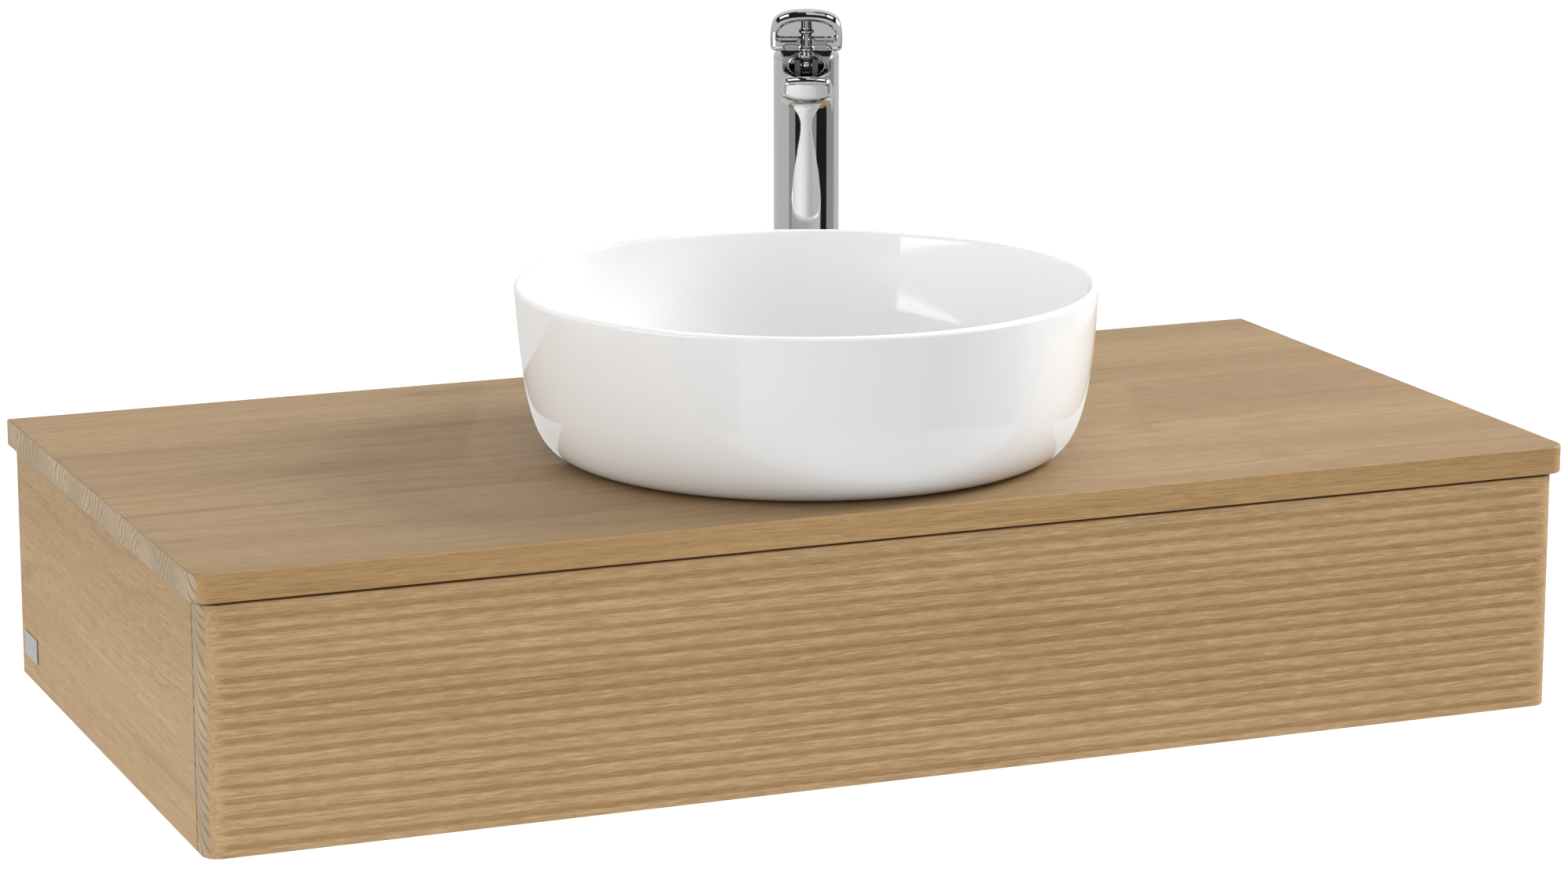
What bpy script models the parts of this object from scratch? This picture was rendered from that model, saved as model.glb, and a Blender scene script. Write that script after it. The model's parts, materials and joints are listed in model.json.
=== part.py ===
"""Wall-hung vanity with one push-to-open drawer, a round vessel basin and a tall single-lever tap.

Metres, +Z up. The origin is under the middle of the cabinet, at its lowest level; the front faces -Y
and the wall plane is the back of the worktop.
"""
import math

import bmesh
import bpy
from mathutils import Matrix, Vector

# ---- driving dimensions ----
WIDTH = 1.000             # worktop
DEPTH = 0.500
TOP_Z = 0.190             # upper face of the worktop
TOP_THICK = 0.020
TOP_CORNER = 0.0125       # plan radius of the worktop's front corners
GAP = 0.0003              # clearance between touching pieces

CABINET_HALF = 0.494      # outer face of a side panel
PANEL = 0.019             # side panel thickness
BOARD = 0.016             # inner boards
FRONT_Y = -0.246          # face of the drawer front
FRONT_THICK = 0.0195
FRONT_HEIGHT = 0.1680
FRONT_CORNER = 0.012
CARCASS_Y = -0.2235       # front edge of the carcass
REAR_Y = 0.216            # front face of the rear panel
GROOVES = 16
GROOVE_PITCH = 0.0101
GROOVE_LOW = 0.0065
GROOVE_RADIUS = 0.0026
GROOVE_DEPTH = 0.0018
GROOVE_END = 0.009        # plain wood left at each end of a groove

DRAWER_BACK = 0.130       # rear end of the drawer box
DRAWER_LOW = 0.0365
SIDE_OUT = 0.471          # outer face of a drawer side
SIDE_THICK = 0.013
SIDE_TOP = 0.130
BACK_TOP = 0.105
DRAWER_BOARD = 0.012
CUT_RADIUS = 0.055        # inside of the liner round the waste
LINER = 0.003

BASIN_Y = -0.054          # centre of the basin and of its waste
BASIN_RADIUS = 0.2045
BASIN_HEIGHT = 0.1195
BASIN_FOOT = 0.162
BASIN_WALL = 0.0065
BASIN_FLOOR = 0.012
WASTE_TUBE = 0.0210
PIPE = 0.016
PIPE_BORE = 0.0145
PIPE_Z = 0.115            # axis of the level run of the inlet pipe
PIPE_BEND = 0.022
TRAP_Y = 0.185
TRAP_RADIUS = 0.030
TRAP_TOP = 0.0815
OUTLET_Z = 0.056

TAP_PLACE = (0.0946, 0.1774)
TAP_TURN = -math.radians(22.24)   # the spout points at the middle of the basin
COLUMN_HALF = 0.0245      # the tap's oval column: half its width,
COLUMN_MIDDLE = 0.0060    # where it is widest, and its reach from there
COLUMN_FRONT = 0.0290     # to the front and to the rear
COLUMN_REAR = 0.0170
TAP_TOP = 0.4355
SPOUT_TIP = 0.122         # from the tap's axis to the end of the spout
AERATOR_REACH = 0.106
PIVOT_Y = -0.006          # lever pin, in the tap's own frame
PIVOT_Z = 0.4255
HANDLE_LOW = 0.4370

ROUND = 24                # steps of a small turned piece
BASIN_STEPS = 48

OAK = ("oak", (0.46, 0.31, 0.16), 0.55, 0.0)
CARCASS = ("carcass_board", (0.50, 0.36, 0.21), 0.6, 0.0)
STEEL = ("grey_steel", (0.32, 0.33, 0.34), 0.45, 0.6)
GREY_BOARD = ("grey_board", (0.30, 0.31, 0.32), 0.5, 0.0)
ZINC = ("zinc_plate", (0.62, 0.63, 0.64), 0.35, 1.0)
CHROME = ("chrome", (0.80, 0.80, 0.80), 0.06, 1.0)
BRASS = ("brass", (0.70, 0.52, 0.22), 0.3, 1.0)
CERAMIC = ("white_glaze", (0.86, 0.86, 0.86), 0.08, 0.0)
RUBBER = ("black_rubber", (0.02, 0.02, 0.02), 0.8, 0.0)
PLASTIC = ("grey_plastic", (0.25, 0.25, 0.26), 0.5, 0.0)
WHITE_PLASTIC = ("white_plastic", (0.80, 0.80, 0.79), 0.4, 0.0)

PARTS = "vessel_sink_on_vanity"
CUTTERS = "cutters"


# ---- scene and materials ----
def start_scene():
    """Empty the scene and make the two collections."""
    for item in list(bpy.data.objects):
        bpy.data.objects.remove(item, do_unlink=True)
    for name in (PARTS, CUTTERS):
        if name not in bpy.data.collections:
            bpy.context.scene.collection.children.link(bpy.data.collections.new(name))


def material(spec):
    """A Principled material from (name, colour, roughness, metallic)."""
    name, colour, roughness, metallic = spec
    made = bpy.data.materials.get(name)
    if made is None:
        made = bpy.data.materials.new(name)
        made.use_nodes = True
        shader = made.node_tree.nodes["Principled BSDF"]
        shader.inputs["Base Color"].default_value = (*colour, 1.0)
        shader.inputs["Roughness"].default_value = roughness
        shader.inputs["Metallic"].default_value = metallic
        made.diffuse_color = (*colour, 1.0)
    return made


def add_object(name, data, look=None):
    """Link a new object among the parts, or among the cutters when it has no look."""
    made = bpy.data.objects.new(name, data)
    bpy.data.collections[PARTS if look else CUTTERS].objects.link(made)
    if look:
        made.data.materials.append(material(look))
    else:
        made.hide_render = True
        made.display_type = "WIRE"
    return made


def from_bmesh(name, mesh, look):
    """An object from a closed bmesh, with its faces turned outwards."""
    data = bpy.data.meshes.new(name)
    mesh.normal_update()
    bmesh.ops.recalc_face_normals(mesh, faces=mesh.faces)
    mesh.normal_update()
    if mesh.calc_volume(signed=True) < 0:
        bmesh.ops.reverse_faces(mesh, faces=mesh.faces)
    mesh.to_mesh(data)
    mesh.free()
    return add_object(name, data, look)


def smooth(item):
    item.data.shade_smooth()
    item.data.set_sharp_from_angle(angle=math.radians(35))
    return item


# ---- shape helpers ----
def cube_mesh(low, high):
    """A bmesh box between two corners."""
    mesh = bmesh.new()
    bmesh.ops.create_cube(mesh, size=1.0)
    size = [b - a for a, b in zip(low, high)]
    middle = [(a + b) / 2 for a, b in zip(low, high)]
    place = Matrix.Translation(middle) @ Matrix.Diagonal((*size, 1.0))
    bmesh.ops.transform(mesh, matrix=place, verts=mesh.verts)
    return mesh


def round_edges(mesh, chosen, radius, segments):
    """Bevel the edges that the function chosen accepts."""
    edges = [edge for edge in mesh.edges if chosen(edge.verts[0].co, edge.verts[1].co)]
    bmesh.ops.bevel(mesh, geom=edges, offset=radius, segments=segments, affect="EDGES", profile=0.5)


def upright(a, b):
    """Accept upright edges."""
    return abs(a.z - b.z) > 1e-5 and (a.xy - b.xy).length < 1e-6


def upright_front(y):
    """Accept the upright edges that lie at the front, at y."""
    return lambda a, b: upright(a, b) and abs(a.y - y) < 1e-5


def box(name, low, high, look=None, bevel=0.0):
    made = from_bmesh(name, cube_mesh(low, high), look)
    if bevel:
        add_bevel(made, bevel, 2)
    return made


def add_bevel(item, width, segments):
    made = item.modifiers.new("rounded_edges", "BEVEL")
    made.width = width
    made.segments = segments
    made.limit_method = "ANGLE"
    made.angle_limit = math.radians(40)


def extruded_mesh(outline, span, axis):
    """A bmesh of a flat outline carried along an axis.

    The outline's points are (x, y) for axis Z, (x, z) for axis Y and (y, z) for axis X.
    """
    places = {"X": lambda a, b, s: (s, a, b), "Y": lambda a, b, s: (a, s, b), "Z": lambda a, b, s: (a, b, s)}
    place = places[axis]
    mesh = bmesh.new()
    ring = [mesh.verts.new(place(a, b, span[0])) for a, b in outline]
    face = mesh.faces.new(ring)
    grown = bmesh.ops.extrude_face_region(mesh, geom=[face])
    moved = [item for item in grown["geom"] if isinstance(item, bmesh.types.BMVert)]
    bmesh.ops.translate(mesh, verts=moved, vec=Vector(place(0, 0, span[1] - span[0])))
    return mesh


def extruded(name, outline, span, axis, look=None):
    return from_bmesh(name, extruded_mesh(outline, span, axis), look)


def arc(centre, radius, start, end, steps):
    """Points on an arc, angles in degrees."""
    points = []
    for index in range(steps + 1):
        angle = math.radians(start + (end - start) * index / steps)
        points.append((centre[0] + radius * math.cos(angle), centre[1] + radius * math.sin(angle)))
    return points


def cubic(start, pull_a, pull_b, end, count):
    """Points on a cubic curve that leaves its start and meets its end along the two pulls."""
    points = []
    for index in range(count + 1):
        t = index / count
        u = 1 - t
        weights = (u ** 3, 3 * u * u * t, 3 * u * t * t, t ** 3)
        knots = (start, pull_a, pull_b, end)
        points.append(tuple(sum(w * knot[axis] for w, knot in zip(weights, knots)) for axis in (0, 1)))
    return points


def turned(name, profile, place, look=None, steps=ROUND, axis="Z"):
    """A closed profile of (radius, height) turned about an axis through place."""
    mesh = bmesh.new()
    verts = [mesh.verts.new((radius, 0.0, height)) for radius, height in profile]
    count = len(verts)
    closed = all(radius > 1e-6 for radius, _ in profile)
    for index in range(count if closed else count - 1):
        mesh.edges.new((verts[index], verts[(index + 1) % count]))
    bmesh.ops.spin(mesh, geom=mesh.verts[:] + mesh.edges[:], cent=(0, 0, 0), axis=(0, 0, 1),
                   angle=2 * math.pi, steps=steps, use_merge=False)
    bmesh.ops.remove_doubles(mesh, verts=mesh.verts, dist=1e-6)
    quarter = math.pi / 2
    turns = {"Z": Matrix(), "X": Matrix.Rotation(quarter, 4, "Y"), "Y": Matrix.Rotation(-quarter, 4, "X")}
    bmesh.ops.transform(mesh, matrix=Matrix.Translation(place) @ turns[axis], verts=mesh.verts)
    return smooth(from_bmesh(name, mesh, look))


def as_built(item):
    return item


def tube_profile(inner, outer, low, high):
    return [(inner, low), (outer, low), (outer, high), (inner, high)]


def rod_profile(radius, low, high):
    return [(0, low), (radius, low), (radius, high), (0, high)]


def drill(name, radius, place, low, high, steps=ROUND, axis="Z"):
    """A cylinder cutter between two heights along an axis through place."""
    return turned(name, rod_profile(radius, low, high), place, None, steps, axis)


def boolean(item, tool, operation="DIFFERENCE", solver="EXACT"):
    made = item.modifiers.new(operation.lower(), "BOOLEAN")
    made.operation = operation
    made.object = tool
    made.solver = solver


def both_sides(build):
    """Call build for the left (-1) and the right (+1) side."""
    for side, word in ((-1, "left"), (1, "right")):
        build(side, word)


def spread(side, inner, outer):
    """The span between two distances from the middle, on one side, low end first."""
    return tuple(sorted((side * inner, side * outer)))


# ---- cabinet ----
PANEL_IN = CABINET_HALF - PANEL
TOP_LOW = TOP_Z - TOP_THICK
PANEL_TOP = TOP_LOW - GAP
RAIL_DEPTH = 0.074
SCREW_X = 0.300
SCREW_Y = -0.187
SCREW_SHANK = 0.0020


def make_worktop():
    mesh = cube_mesh((-WIDTH / 2, -DEPTH / 2, TOP_LOW), (WIDTH / 2, DEPTH / 2, TOP_Z))
    round_edges(mesh, upright_front(-DEPTH / 2), TOP_CORNER, 8)
    top = from_bmesh("worktop", mesh, OAK)
    add_bevel(top, 0.0018, 2)
    boolean(top, drill("cut_waste_hole", 0.0235, (0, BASIN_Y, 0), 0.15, 0.21))
    boolean(top, drill("cut_tap_hole", 0.0175, (*TAP_PLACE, 0), 0.15, 0.21))
    for side in (-1, 1):
        place = (side * SCREW_X, SCREW_Y, 0)
        boolean(top, drill("cut_pilot", SCREW_SHANK + GAP, place, 0.16, 0.1845, 12))


def make_side_panel(side, word):
    x0, x1 = spread(side, PANEL_IN, CABINET_HALF)
    box("side_panel_" + word, (x0, CARCASS_Y, 0), (x1, DEPTH / 2, PANEL_TOP), OAK, 0.0008)


def make_boards():
    half = PANEL_IN - GAP
    box("bottom_panel", (-half, CARCASS_Y, 0), (half, REAR_Y - GAP, BOARD), CARCASS, 0.0004)
    rear = box("rear_panel", (-half, REAR_Y, 0), (half, REAR_Y + BOARD, PANEL_TOP), CARCASS)
    boolean(rear, box("cut_plumbing", (-0.150, 0.20, 0.030), (0.150, 0.25, 0.135)))
    for side in (-1, 1):
        x0, x1 = spread(side, HANGER_IN - 0.003, HANGER_OUT + 0.0001)
        boolean(rear, box("cut_hanger", (x0, 0.20, 0.1300), (x1, 0.25, 0.1610)))
    low = (-half, CARCASS_Y, PANEL_TOP - BOARD)
    rail = box("front_rail", low, (half, CARCASS_Y + RAIL_DEPTH, PANEL_TOP), CARCASS)
    for side in (-1, 1):
        place = (side * SCREW_X, SCREW_Y, 0)
        boolean(rail, drill("cut_screw", SCREW_SHANK + GAP, place, 0.14, 0.18, 12))


def make_worktop_screw(side, word):
    head = PANEL_TOP - BOARD - GAP
    profile = [(0, head - 0.0026), (0.0022, head - 0.0026), (0.0036, head - 0.0014), (0.0040, head),
               (SCREW_SHANK, head), (SCREW_SHANK, 0.180), (0, 0.1838)]
    turned("worktop_screw_" + word, profile, (side * SCREW_X, SCREW_Y, 0), ZINC, 12)


HANGER_IN = 0.4440
HANGER_OUT = PANEL_IN - GAP
LIP_Y = 0.2425            # front face of the wall rail's upper lip
STRIP = 0.0020


def make_hanger(side, word):
    """A block in the rear corner whose arm passes the rear panel and hooks over the wall rail."""
    outline = [(0.180, 0.118), (0.2157, 0.118), (0.2157, 0.1500), (0.2466, 0.1500), (0.2466, 0.1420),
               (0.2484, 0.1420), (0.2484, 0.1550), (0.2157, 0.1550), (0.2157, 0.1660), (0.192, 0.1660),
               (0.180, 0.154)]
    extruded("hanger_" + word, outline, spread(side, HANGER_IN, HANGER_OUT), "X", ZINC)


def make_wall_rail():
    wall = DEPTH / 2 - GAP
    outline = [(wall - STRIP, 0.104), (wall, 0.104), (wall, 0.1360), (LIP_Y + STRIP, 0.1400),
               (LIP_Y + STRIP, 0.1480), (LIP_Y, 0.1480), (LIP_Y, 0.1385), (wall - STRIP, 0.1345)]
    extruded("wall_rail", outline, (-0.470, 0.470), "X", ZINC)


def make_badge_plate():
    x = -CABINET_HALF - GAP
    box("badge_plate", (x - 0.0008, 0.203, 0.017), (x, 0.239, 0.035), ZINC, 0.0002)


# ---- drawer ----
FRONT_BACK = FRONT_Y + FRONT_THICK
BOX_FRONT = FRONT_BACK + GAP
SIDE_IN = SIDE_OUT - SIDE_THICK


def capsule(name, radius, half_length, place, look=None):
    """A cylinder with round ends along X: a sphere whose halves are drawn apart."""
    mesh = bmesh.new()
    bmesh.ops.create_uvsphere(mesh, u_segments=12, v_segments=7, radius=radius)
    bmesh.ops.transform(mesh, matrix=Matrix.Rotation(math.pi / 2, 4, "Y"), verts=mesh.verts)
    for vert in mesh.verts:
        vert.co.x += math.copysign(half_length - radius, vert.co.x)
    bmesh.ops.translate(mesh, verts=mesh.verts, vec=Vector(place))
    return from_bmesh(name, mesh, look)


def make_drawer_front():
    mesh = cube_mesh((-CABINET_HALF, FRONT_Y, 0), (CABINET_HALF, FRONT_BACK, FRONT_HEIGHT))
    round_edges(mesh, upright_front(FRONT_Y), FRONT_CORNER, 8)
    front = from_bmesh("drawer_front", mesh, OAK)
    add_bevel(front, 0.0008, 1)
    groove_y = FRONT_Y - GROOVE_RADIUS + GROOVE_DEPTH
    for index in range(GROOVES):
        z = GROOVE_LOW + GROOVE_PITCH * index
        place = (0, groove_y, z)
        boolean(front, capsule("cut_groove", GROOVE_RADIUS, CABINET_HALF - GROOVE_END, place))


def make_drawer_side(side, word):
    x0, x1 = spread(side, SIDE_IN, SIDE_OUT)
    box("drawer_side_" + word, (x0, BOX_FRONT, DRAWER_LOW), (x1, DRAWER_BACK, SIDE_TOP), STEEL, 0.002)


def u_band(inner, outer):
    """A U in plan round the waste, open to the rear; inner 0 gives the solid tongue."""
    end = DRAWER_BACK
    points = [(-outer, end)] + arc((0, BASIN_Y), outer, 180, 360, 12) + [(outer, end)]
    if inner:
        points += [(inner, end)] + arc((0, BASIN_Y), inner, 360, 180, 12) + [(-inner, end)]
    return points


def make_drawer_bottom():
    half = SIDE_IN - GAP
    top = DRAWER_LOW + DRAWER_BOARD
    bottom = box("drawer_bottom", (-half, BOX_FRONT, DRAWER_LOW), (half, DRAWER_BACK - GAP, top), GREY_BOARD)
    outline = [(a, b + (0.01 if b == DRAWER_BACK else 0.0)) for a, b in u_band(0, CUT_RADIUS + LINER + GAP)]
    boolean(bottom, extruded("cut_bottom", outline, (0.02, 0.08), "Z"))


def make_drawer_back(side, word):
    x0, x1 = spread(side, CUT_RADIUS + LINER + 0.001, SIDE_IN - GAP)
    low = DRAWER_LOW + DRAWER_BOARD + GAP
    box("drawer_back_" + word, (x0, DRAWER_BACK - BOARD, low), (x1, DRAWER_BACK, BACK_TOP), GREY_BOARD, 0.0006)


def make_liner():
    """The wall of the cut-out, with a rim that rests over the drawer's backs."""
    rest = BACK_TOP + GAP
    band = u_band(CUT_RADIUS, CUT_RADIUS + LINER)
    wall = extruded("cutout_liner", band, (DRAWER_LOW, rest + 0.001), "Z", PLASTIC)
    rim = extruded("add_rim", u_band(CUT_RADIUS - 0.0004, CUT_RADIUS + 0.008), (rest, rest + 0.0018), "Z")
    boolean(wall, rim, "UNION")


def make_front_bracket(side, word):
    """An angle in the inner corner between a drawer side and the front."""
    x = SIDE_IN - GAP
    y = BOX_FRONT
    outline = [(x, y), (x, y + 0.030), (x - 0.0015, y + 0.030), (x - 0.0015, y + 0.0015),
               (x - 0.022, y + 0.0015), (x - 0.022, y)]
    if side < 0:
        outline = [(-a, b) for a, b in outline]
    extruded("front_bracket_" + word, outline, (0.056, 0.112), "Z", ZINC)


# ---- runners and latches ----
RUNNER_FRONT = -0.222
RUNNER_REAR = 0.118


def runner_member(name, outline, side, look):
    if side < 0:
        outline = [(-a, b) for a, b in outline]
    extruded(name, outline, (RUNNER_FRONT, RUNNER_REAR), "Y", look)


def make_runner(side, word):
    wall = PANEL_IN - GAP
    fixed = [(wall, 0.0200), (wall, 0.0480), (wall - 0.0015, 0.0480), (wall - 0.0015, 0.0215),
             (0.4515, 0.0215), (0.4515, 0.0255), (0.4500, 0.0255), (0.4500, 0.0200)]
    middle = [(0.4535, 0.0225), (0.4535, 0.0310), (0.4720, 0.0310), (0.4720, 0.0225), (0.4705, 0.0225),
              (0.4705, 0.0295), (0.4550, 0.0295), (0.4550, 0.0225)]
    moving = [(0.4520, 0.0320), (0.4520, 0.0360), (0.4720, 0.0360), (0.4720, 0.0320), (0.4705, 0.0320),
              (0.4705, 0.0345), (0.4535, 0.0345), (0.4535, 0.0320)]
    runner_member("cabinet_rail_" + word, fixed, side, ZINC)
    runner_member("middle_rail_" + word, middle, side, ZINC)
    runner_member("drawer_rail_" + word, moving, side, ZINC)


LATCH_Z = 0.143
LATCH_X = 0.4667
PLUNGER = 0.0030


def make_push_latch(side, word):
    x = side * LATCH_X
    x0, x1 = spread(side, LATCH_X - 0.007, PANEL_IN - GAP)
    latch = box("push_latch_" + word, (x0, -0.2215, 0.136), (x1, -0.150, 0.150), PLASTIC, 0.0012)
    boolean(latch, drill("cut_latch", 0.0038, (x, 0, LATCH_Z), -0.23, -0.180, 12, "Y"))
    nose = BOX_FRONT
    profile = [(0, nose), (0.0022, nose), (0.0034, nose + 0.0012), (0.0034, nose + 0.0035),
               (PLUNGER, nose + 0.0040), (PLUNGER, -0.1900), (0, -0.1900)]
    turned("push_plunger_" + word, profile, (x, 0, LATCH_Z), WHITE_PLASTIC, 12, "Y")


# ---- basin and waste ----
BASIN_Z = TOP_Z + GAP


def basin_profile():
    """The section of the basin as (radius, height): outer wall, rim, inner wall, floor and foot."""
    half = BASIN_WALL / 2
    rim_z = BASIN_HEIGHT - half
    low = BASIN_FLOOR + 0.0020
    outer = cubic((BASIN_FOOT, 0.0), (0.1930, 0.0), (0.1984, 0.0313), (BASIN_RADIUS, rim_z), 9)
    inner = cubic((BASIN_RADIUS - BASIN_WALL, rim_z), (0.1900, 0.0430), (0.1830, low), (0.1420, low), 8)
    rim = arc((BASIN_RADIUS - half, rim_z), half, 0, 180, 4)[1:-1]
    seat = BASIN_FLOOR - 0.0022
    floor = [(0.036, BASIN_FLOOR), (0.034, seat), (0.0225, seat), (0.0225, 0.003)]
    foot = [(0.1460, 0.003), (0.1500, 0.0)]
    return [(radius, BASIN_Z + height) for radius, height in outer + rim + inner + floor + foot]


def make_basin():
    place = (0, BASIN_Y, 0)
    turned("basin", basin_profile(), place, CERAMIC, BASIN_STEPS)
    seal = tube_profile(0.1370, 0.1450, TOP_Z + GAP, BASIN_Z + 0.003 - GAP)
    turned("basin_seal", seal, place, RUBBER, 32)


FLANGE_Z = BASIN_Z + BASIN_FLOOR - 0.0022 + GAP
TUBE_LOW = 0.1420
PLUG_RISE = 0.006         # how far the open plug stands over its flange


def make_waste():
    """The threaded waste: flange, tube and a cross-bar whose hub guides the plug's stem."""
    bore = 0.0165
    place = (0, BASIN_Y, 0)
    top = FLANGE_Z + 0.0024
    profile = [(bore, TUBE_LOW), (WASTE_TUBE, TUBE_LOW), (WASTE_TUBE, FLANGE_Z), (0.0325, FLANGE_Z),
               (0.0325, top - 0.0008), (0.0310, top), (bore + 0.001, top), (bore, top - 0.0014)]
    flange = turned("waste_flange", profile, place, CHROME, 28)
    crossbar = box("add_crossbar", (-0.0180, BASIN_Y - 0.0025, 0.172), (0.0180, BASIN_Y + 0.0025, 0.178))
    boolean(flange, crossbar, "UNION")
    boolean(flange, turned("add_hub", rod_profile(0.0070, 0.1690, 0.1810), place, None, 16), "UNION")
    boolean(flange, drill("cut_hub", 0.0043, place, 0.160, 0.190, 12))
    cap = top + PLUG_RISE + GAP
    plug = [(0, 0.1600), (0.0040, 0.1600), (0.0040, cap), (0.0285, cap), (0.0290, cap + 0.0012),
            (0.0275, cap + 0.0030), (0.0150, cap + 0.0042), (0, cap + 0.0046)]
    turned("waste_plug", plug, place, CERAMIC, 28)


def hexagon(name, across, bore, span, centre, put):
    """A brass hexagon nut with a round bore; put sets an object in its frame."""
    nut = put(extruded(name, arc(centre, across / math.sqrt(3), 0, 300, 5), span, "Z", BRASS))
    boolean(nut, put(drill("cut_" + name, bore, (*centre, 0), span[0] - 0.01, span[1] + 0.01)))


def make_waste_fixing():
    place = (0, BASIN_Y, 0)
    under = TOP_LOW - GAP
    turned("waste_seal", tube_profile(WASTE_TUBE + GAP, 0.0340, under - 0.0030, under), place, RUBBER)
    hexagon("waste_nut", 0.056, WASTE_TUBE + GAP, (0.1560, under - 0.0030 - GAP), (0, BASIN_Y), as_built)
    profile = [(PIPE + GAP, 0.1375), (0.0235, 0.1375), (0.0260, 0.1400), (0.0260, 0.1545),
               (WASTE_TUBE + GAP, 0.1545), (WASTE_TUBE + GAP, 0.1410), (PIPE + GAP, 0.1410)]
    turned("slip_nut", profile, place, WHITE_PLASTIC)


def pipe_path():
    """The inlet pipe's axis: down from the waste, level to the rear, down into the trap."""
    points = [(0, BASIN_Y, TUBE_LOW - 2 * GAP)]
    points += [(0, y, z) for y, z in arc((BASIN_Y + PIPE_BEND, PIPE_Z + PIPE_BEND), PIPE_BEND, 180, 270, 5)]
    points += [(0, y, z) for y, z in arc((TRAP_Y - PIPE_BEND, PIPE_Z - PIPE_BEND), PIPE_BEND, 90, 0, 5)]
    points += [(0, TRAP_Y, 0.0320)]
    return points


def swept(name, path, radius, look=None):
    """A round bar along a path, as a mesh."""
    curve = bpy.data.curves.new(name, "CURVE")
    curve.dimensions = "3D"
    curve.bevel_depth = radius
    curve.bevel_resolution = 3
    curve.use_fill_caps = True
    spline = curve.splines.new("POLY")
    spline.points.add(len(path) - 1)
    for point, place in zip(spline.points, path):
        point.co = (*place, 1.0)
    guide = add_object(name + "_path", curve)
    bpy.context.view_layer.update()
    data = bpy.data.meshes.new_from_object(guide.evaluated_get(bpy.context.evaluated_depsgraph_get()))
    bpy.data.objects.remove(guide)
    mesh = bmesh.new()
    mesh.from_mesh(data)
    bmesh.ops.remove_doubles(mesh, verts=mesh.verts, dist=1e-5)
    return smooth(from_bmesh(name, mesh, look))


def make_inlet_pipe():
    path = pipe_path()
    pipe = swept("inlet_pipe", path, PIPE, WHITE_PLASTIC)
    above = (0, BASIN_Y, path[0][2] + 0.004)
    below = (0, TRAP_Y, path[-1][2] - 0.004)
    boolean(pipe, swept("cut_pipe", [above] + path[1:-1] + [below], PIPE_BORE))


def make_trap():
    """A short bottle trap behind the drawer, with its outlet through the rear panel."""
    place = (0, TRAP_Y, 0)
    profile = [(0, 0.0190), (TRAP_RADIUS - 0.006, 0.0190), (TRAP_RADIUS, 0.0250), (TRAP_RADIUS, TRAP_TOP),
               (0, TRAP_TOP)]
    body = turned("trap_body", profile, place, WHITE_PLASTIC)
    outlet = (0, 0, OUTLET_Z)
    stub = turned("add_stub", rod_profile(0.0185, TRAP_Y + 0.020, 0.2290), outlet, None, 22, "Y")
    boolean(body, stub, "UNION")
    boolean(body, drill("cut_cup", TRAP_RADIUS - 0.002, place, 0.0240, 0.1000))
    bore = drill("cut_stub", PIPE + GAP, outlet, TRAP_Y + 0.008, 0.2400, 22, "Y")
    boolean(body, bore, "DIFFERENCE", "MANIFOLD")
    top = TRAP_TOP + GAP
    outside = TRAP_RADIUS + GAP
    cap = [(PIPE + GAP, top), (outside, top), (outside, top - 0.0045), (0.0330, top - 0.0045),
           (0.0330, top + 0.0080), (0.0220, top + 0.0105), (PIPE + GAP, top + 0.0105)]
    turned("trap_cap", cap, place, WHITE_PLASTIC)
    wall = DEPTH / 2 - GAP
    pipe = tube_profile(PIPE_BORE, PIPE, TRAP_Y + 0.0300, wall)
    turned("outlet_pipe", pipe, outlet, WHITE_PLASTIC, 20, "Y")
    rosette = [(PIPE + GAP, wall), (0.0340, wall), (0.0335, wall - 0.0020), (0.0220, wall - 0.0090),
               (PIPE + GAP, wall - 0.0100)]
    turned("wall_rosette", rosette, outlet, WHITE_PLASTIC, ROUND, "Y")


# ---- tap, built in its own frame: axis at the origin, spout along -Y ----
def place_tap():
    """The tap's place and turn, as a matrix."""
    return Matrix.Translation((*TAP_PLACE, 0)) @ Matrix.Rotation(TAP_TURN, 4, "Z")


def on_tap(item):
    item.matrix_world = place_tap()
    return item


def column_outline():
    """The column in plan: half an ellipse in front, a squarer half behind."""
    points = []
    for index in range(32):
        angle = 2 * math.pi * index / 32
        behind = math.sin(angle) > 0
        power = 2 / 2.7 if behind else 1.0
        reach = COLUMN_REAR if behind else COLUMN_FRONT
        x = math.copysign(abs(math.cos(angle)) ** power, math.cos(angle))
        y = math.copysign(abs(math.sin(angle)) ** power, math.sin(angle))
        points.append((COLUMN_HALF * x, COLUMN_MIDDLE + reach * y))
    return points


def spout_block(name):
    """The tapering, rising spout: a block whose two ends are sized apart."""
    mesh = cube_mesh((-1, -1, -1), (1, 1, 1))
    root = (-0.0100, 0.0200, 0.3900, 0.4130)
    tip = (-SPOUT_TIP, 0.0178, 0.4165, 0.4345)
    for vert in mesh.verts:
        y, half, low, high = tip if vert.co.y < 0 else root
        vert.co = (vert.co.x * half, y, low if vert.co.z < 0 else high)

    def sides_and_nose(a, b):
        return min(a.y, b.y) < -0.05 and abs(a.x - b.x) < 0.004

    round_edges(mesh, sides_and_nose, 0.0060, 3)
    return from_bmesh(name, mesh, None)


def pocket_block(name):
    """The cutter for the recess in the column's upper front: a wedge with a sloping floor."""
    mesh = cube_mesh((-1, -1, -1), (1, 1, 1))
    rear = (0.0125, 0.0215, 0.4362, 0.4500)
    front = (-0.0300, 0.0140, 0.4135, 0.4500)
    for vert in mesh.verts:
        y, half, low, high = front if vert.co.y < 0 else rear
        vert.co = (vert.co.x * half, y, low if vert.co.z < 0 else high)
    return from_bmesh(name, mesh, None)


BORE = 0.0130
BORE_LOW = 0.3857
BASE_Z = 0.1935
STUD_Y = 0.0085
NIPPLE_X = 0.0075
NIPPLE_Y = -0.0060
PIN = 0.0012


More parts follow.
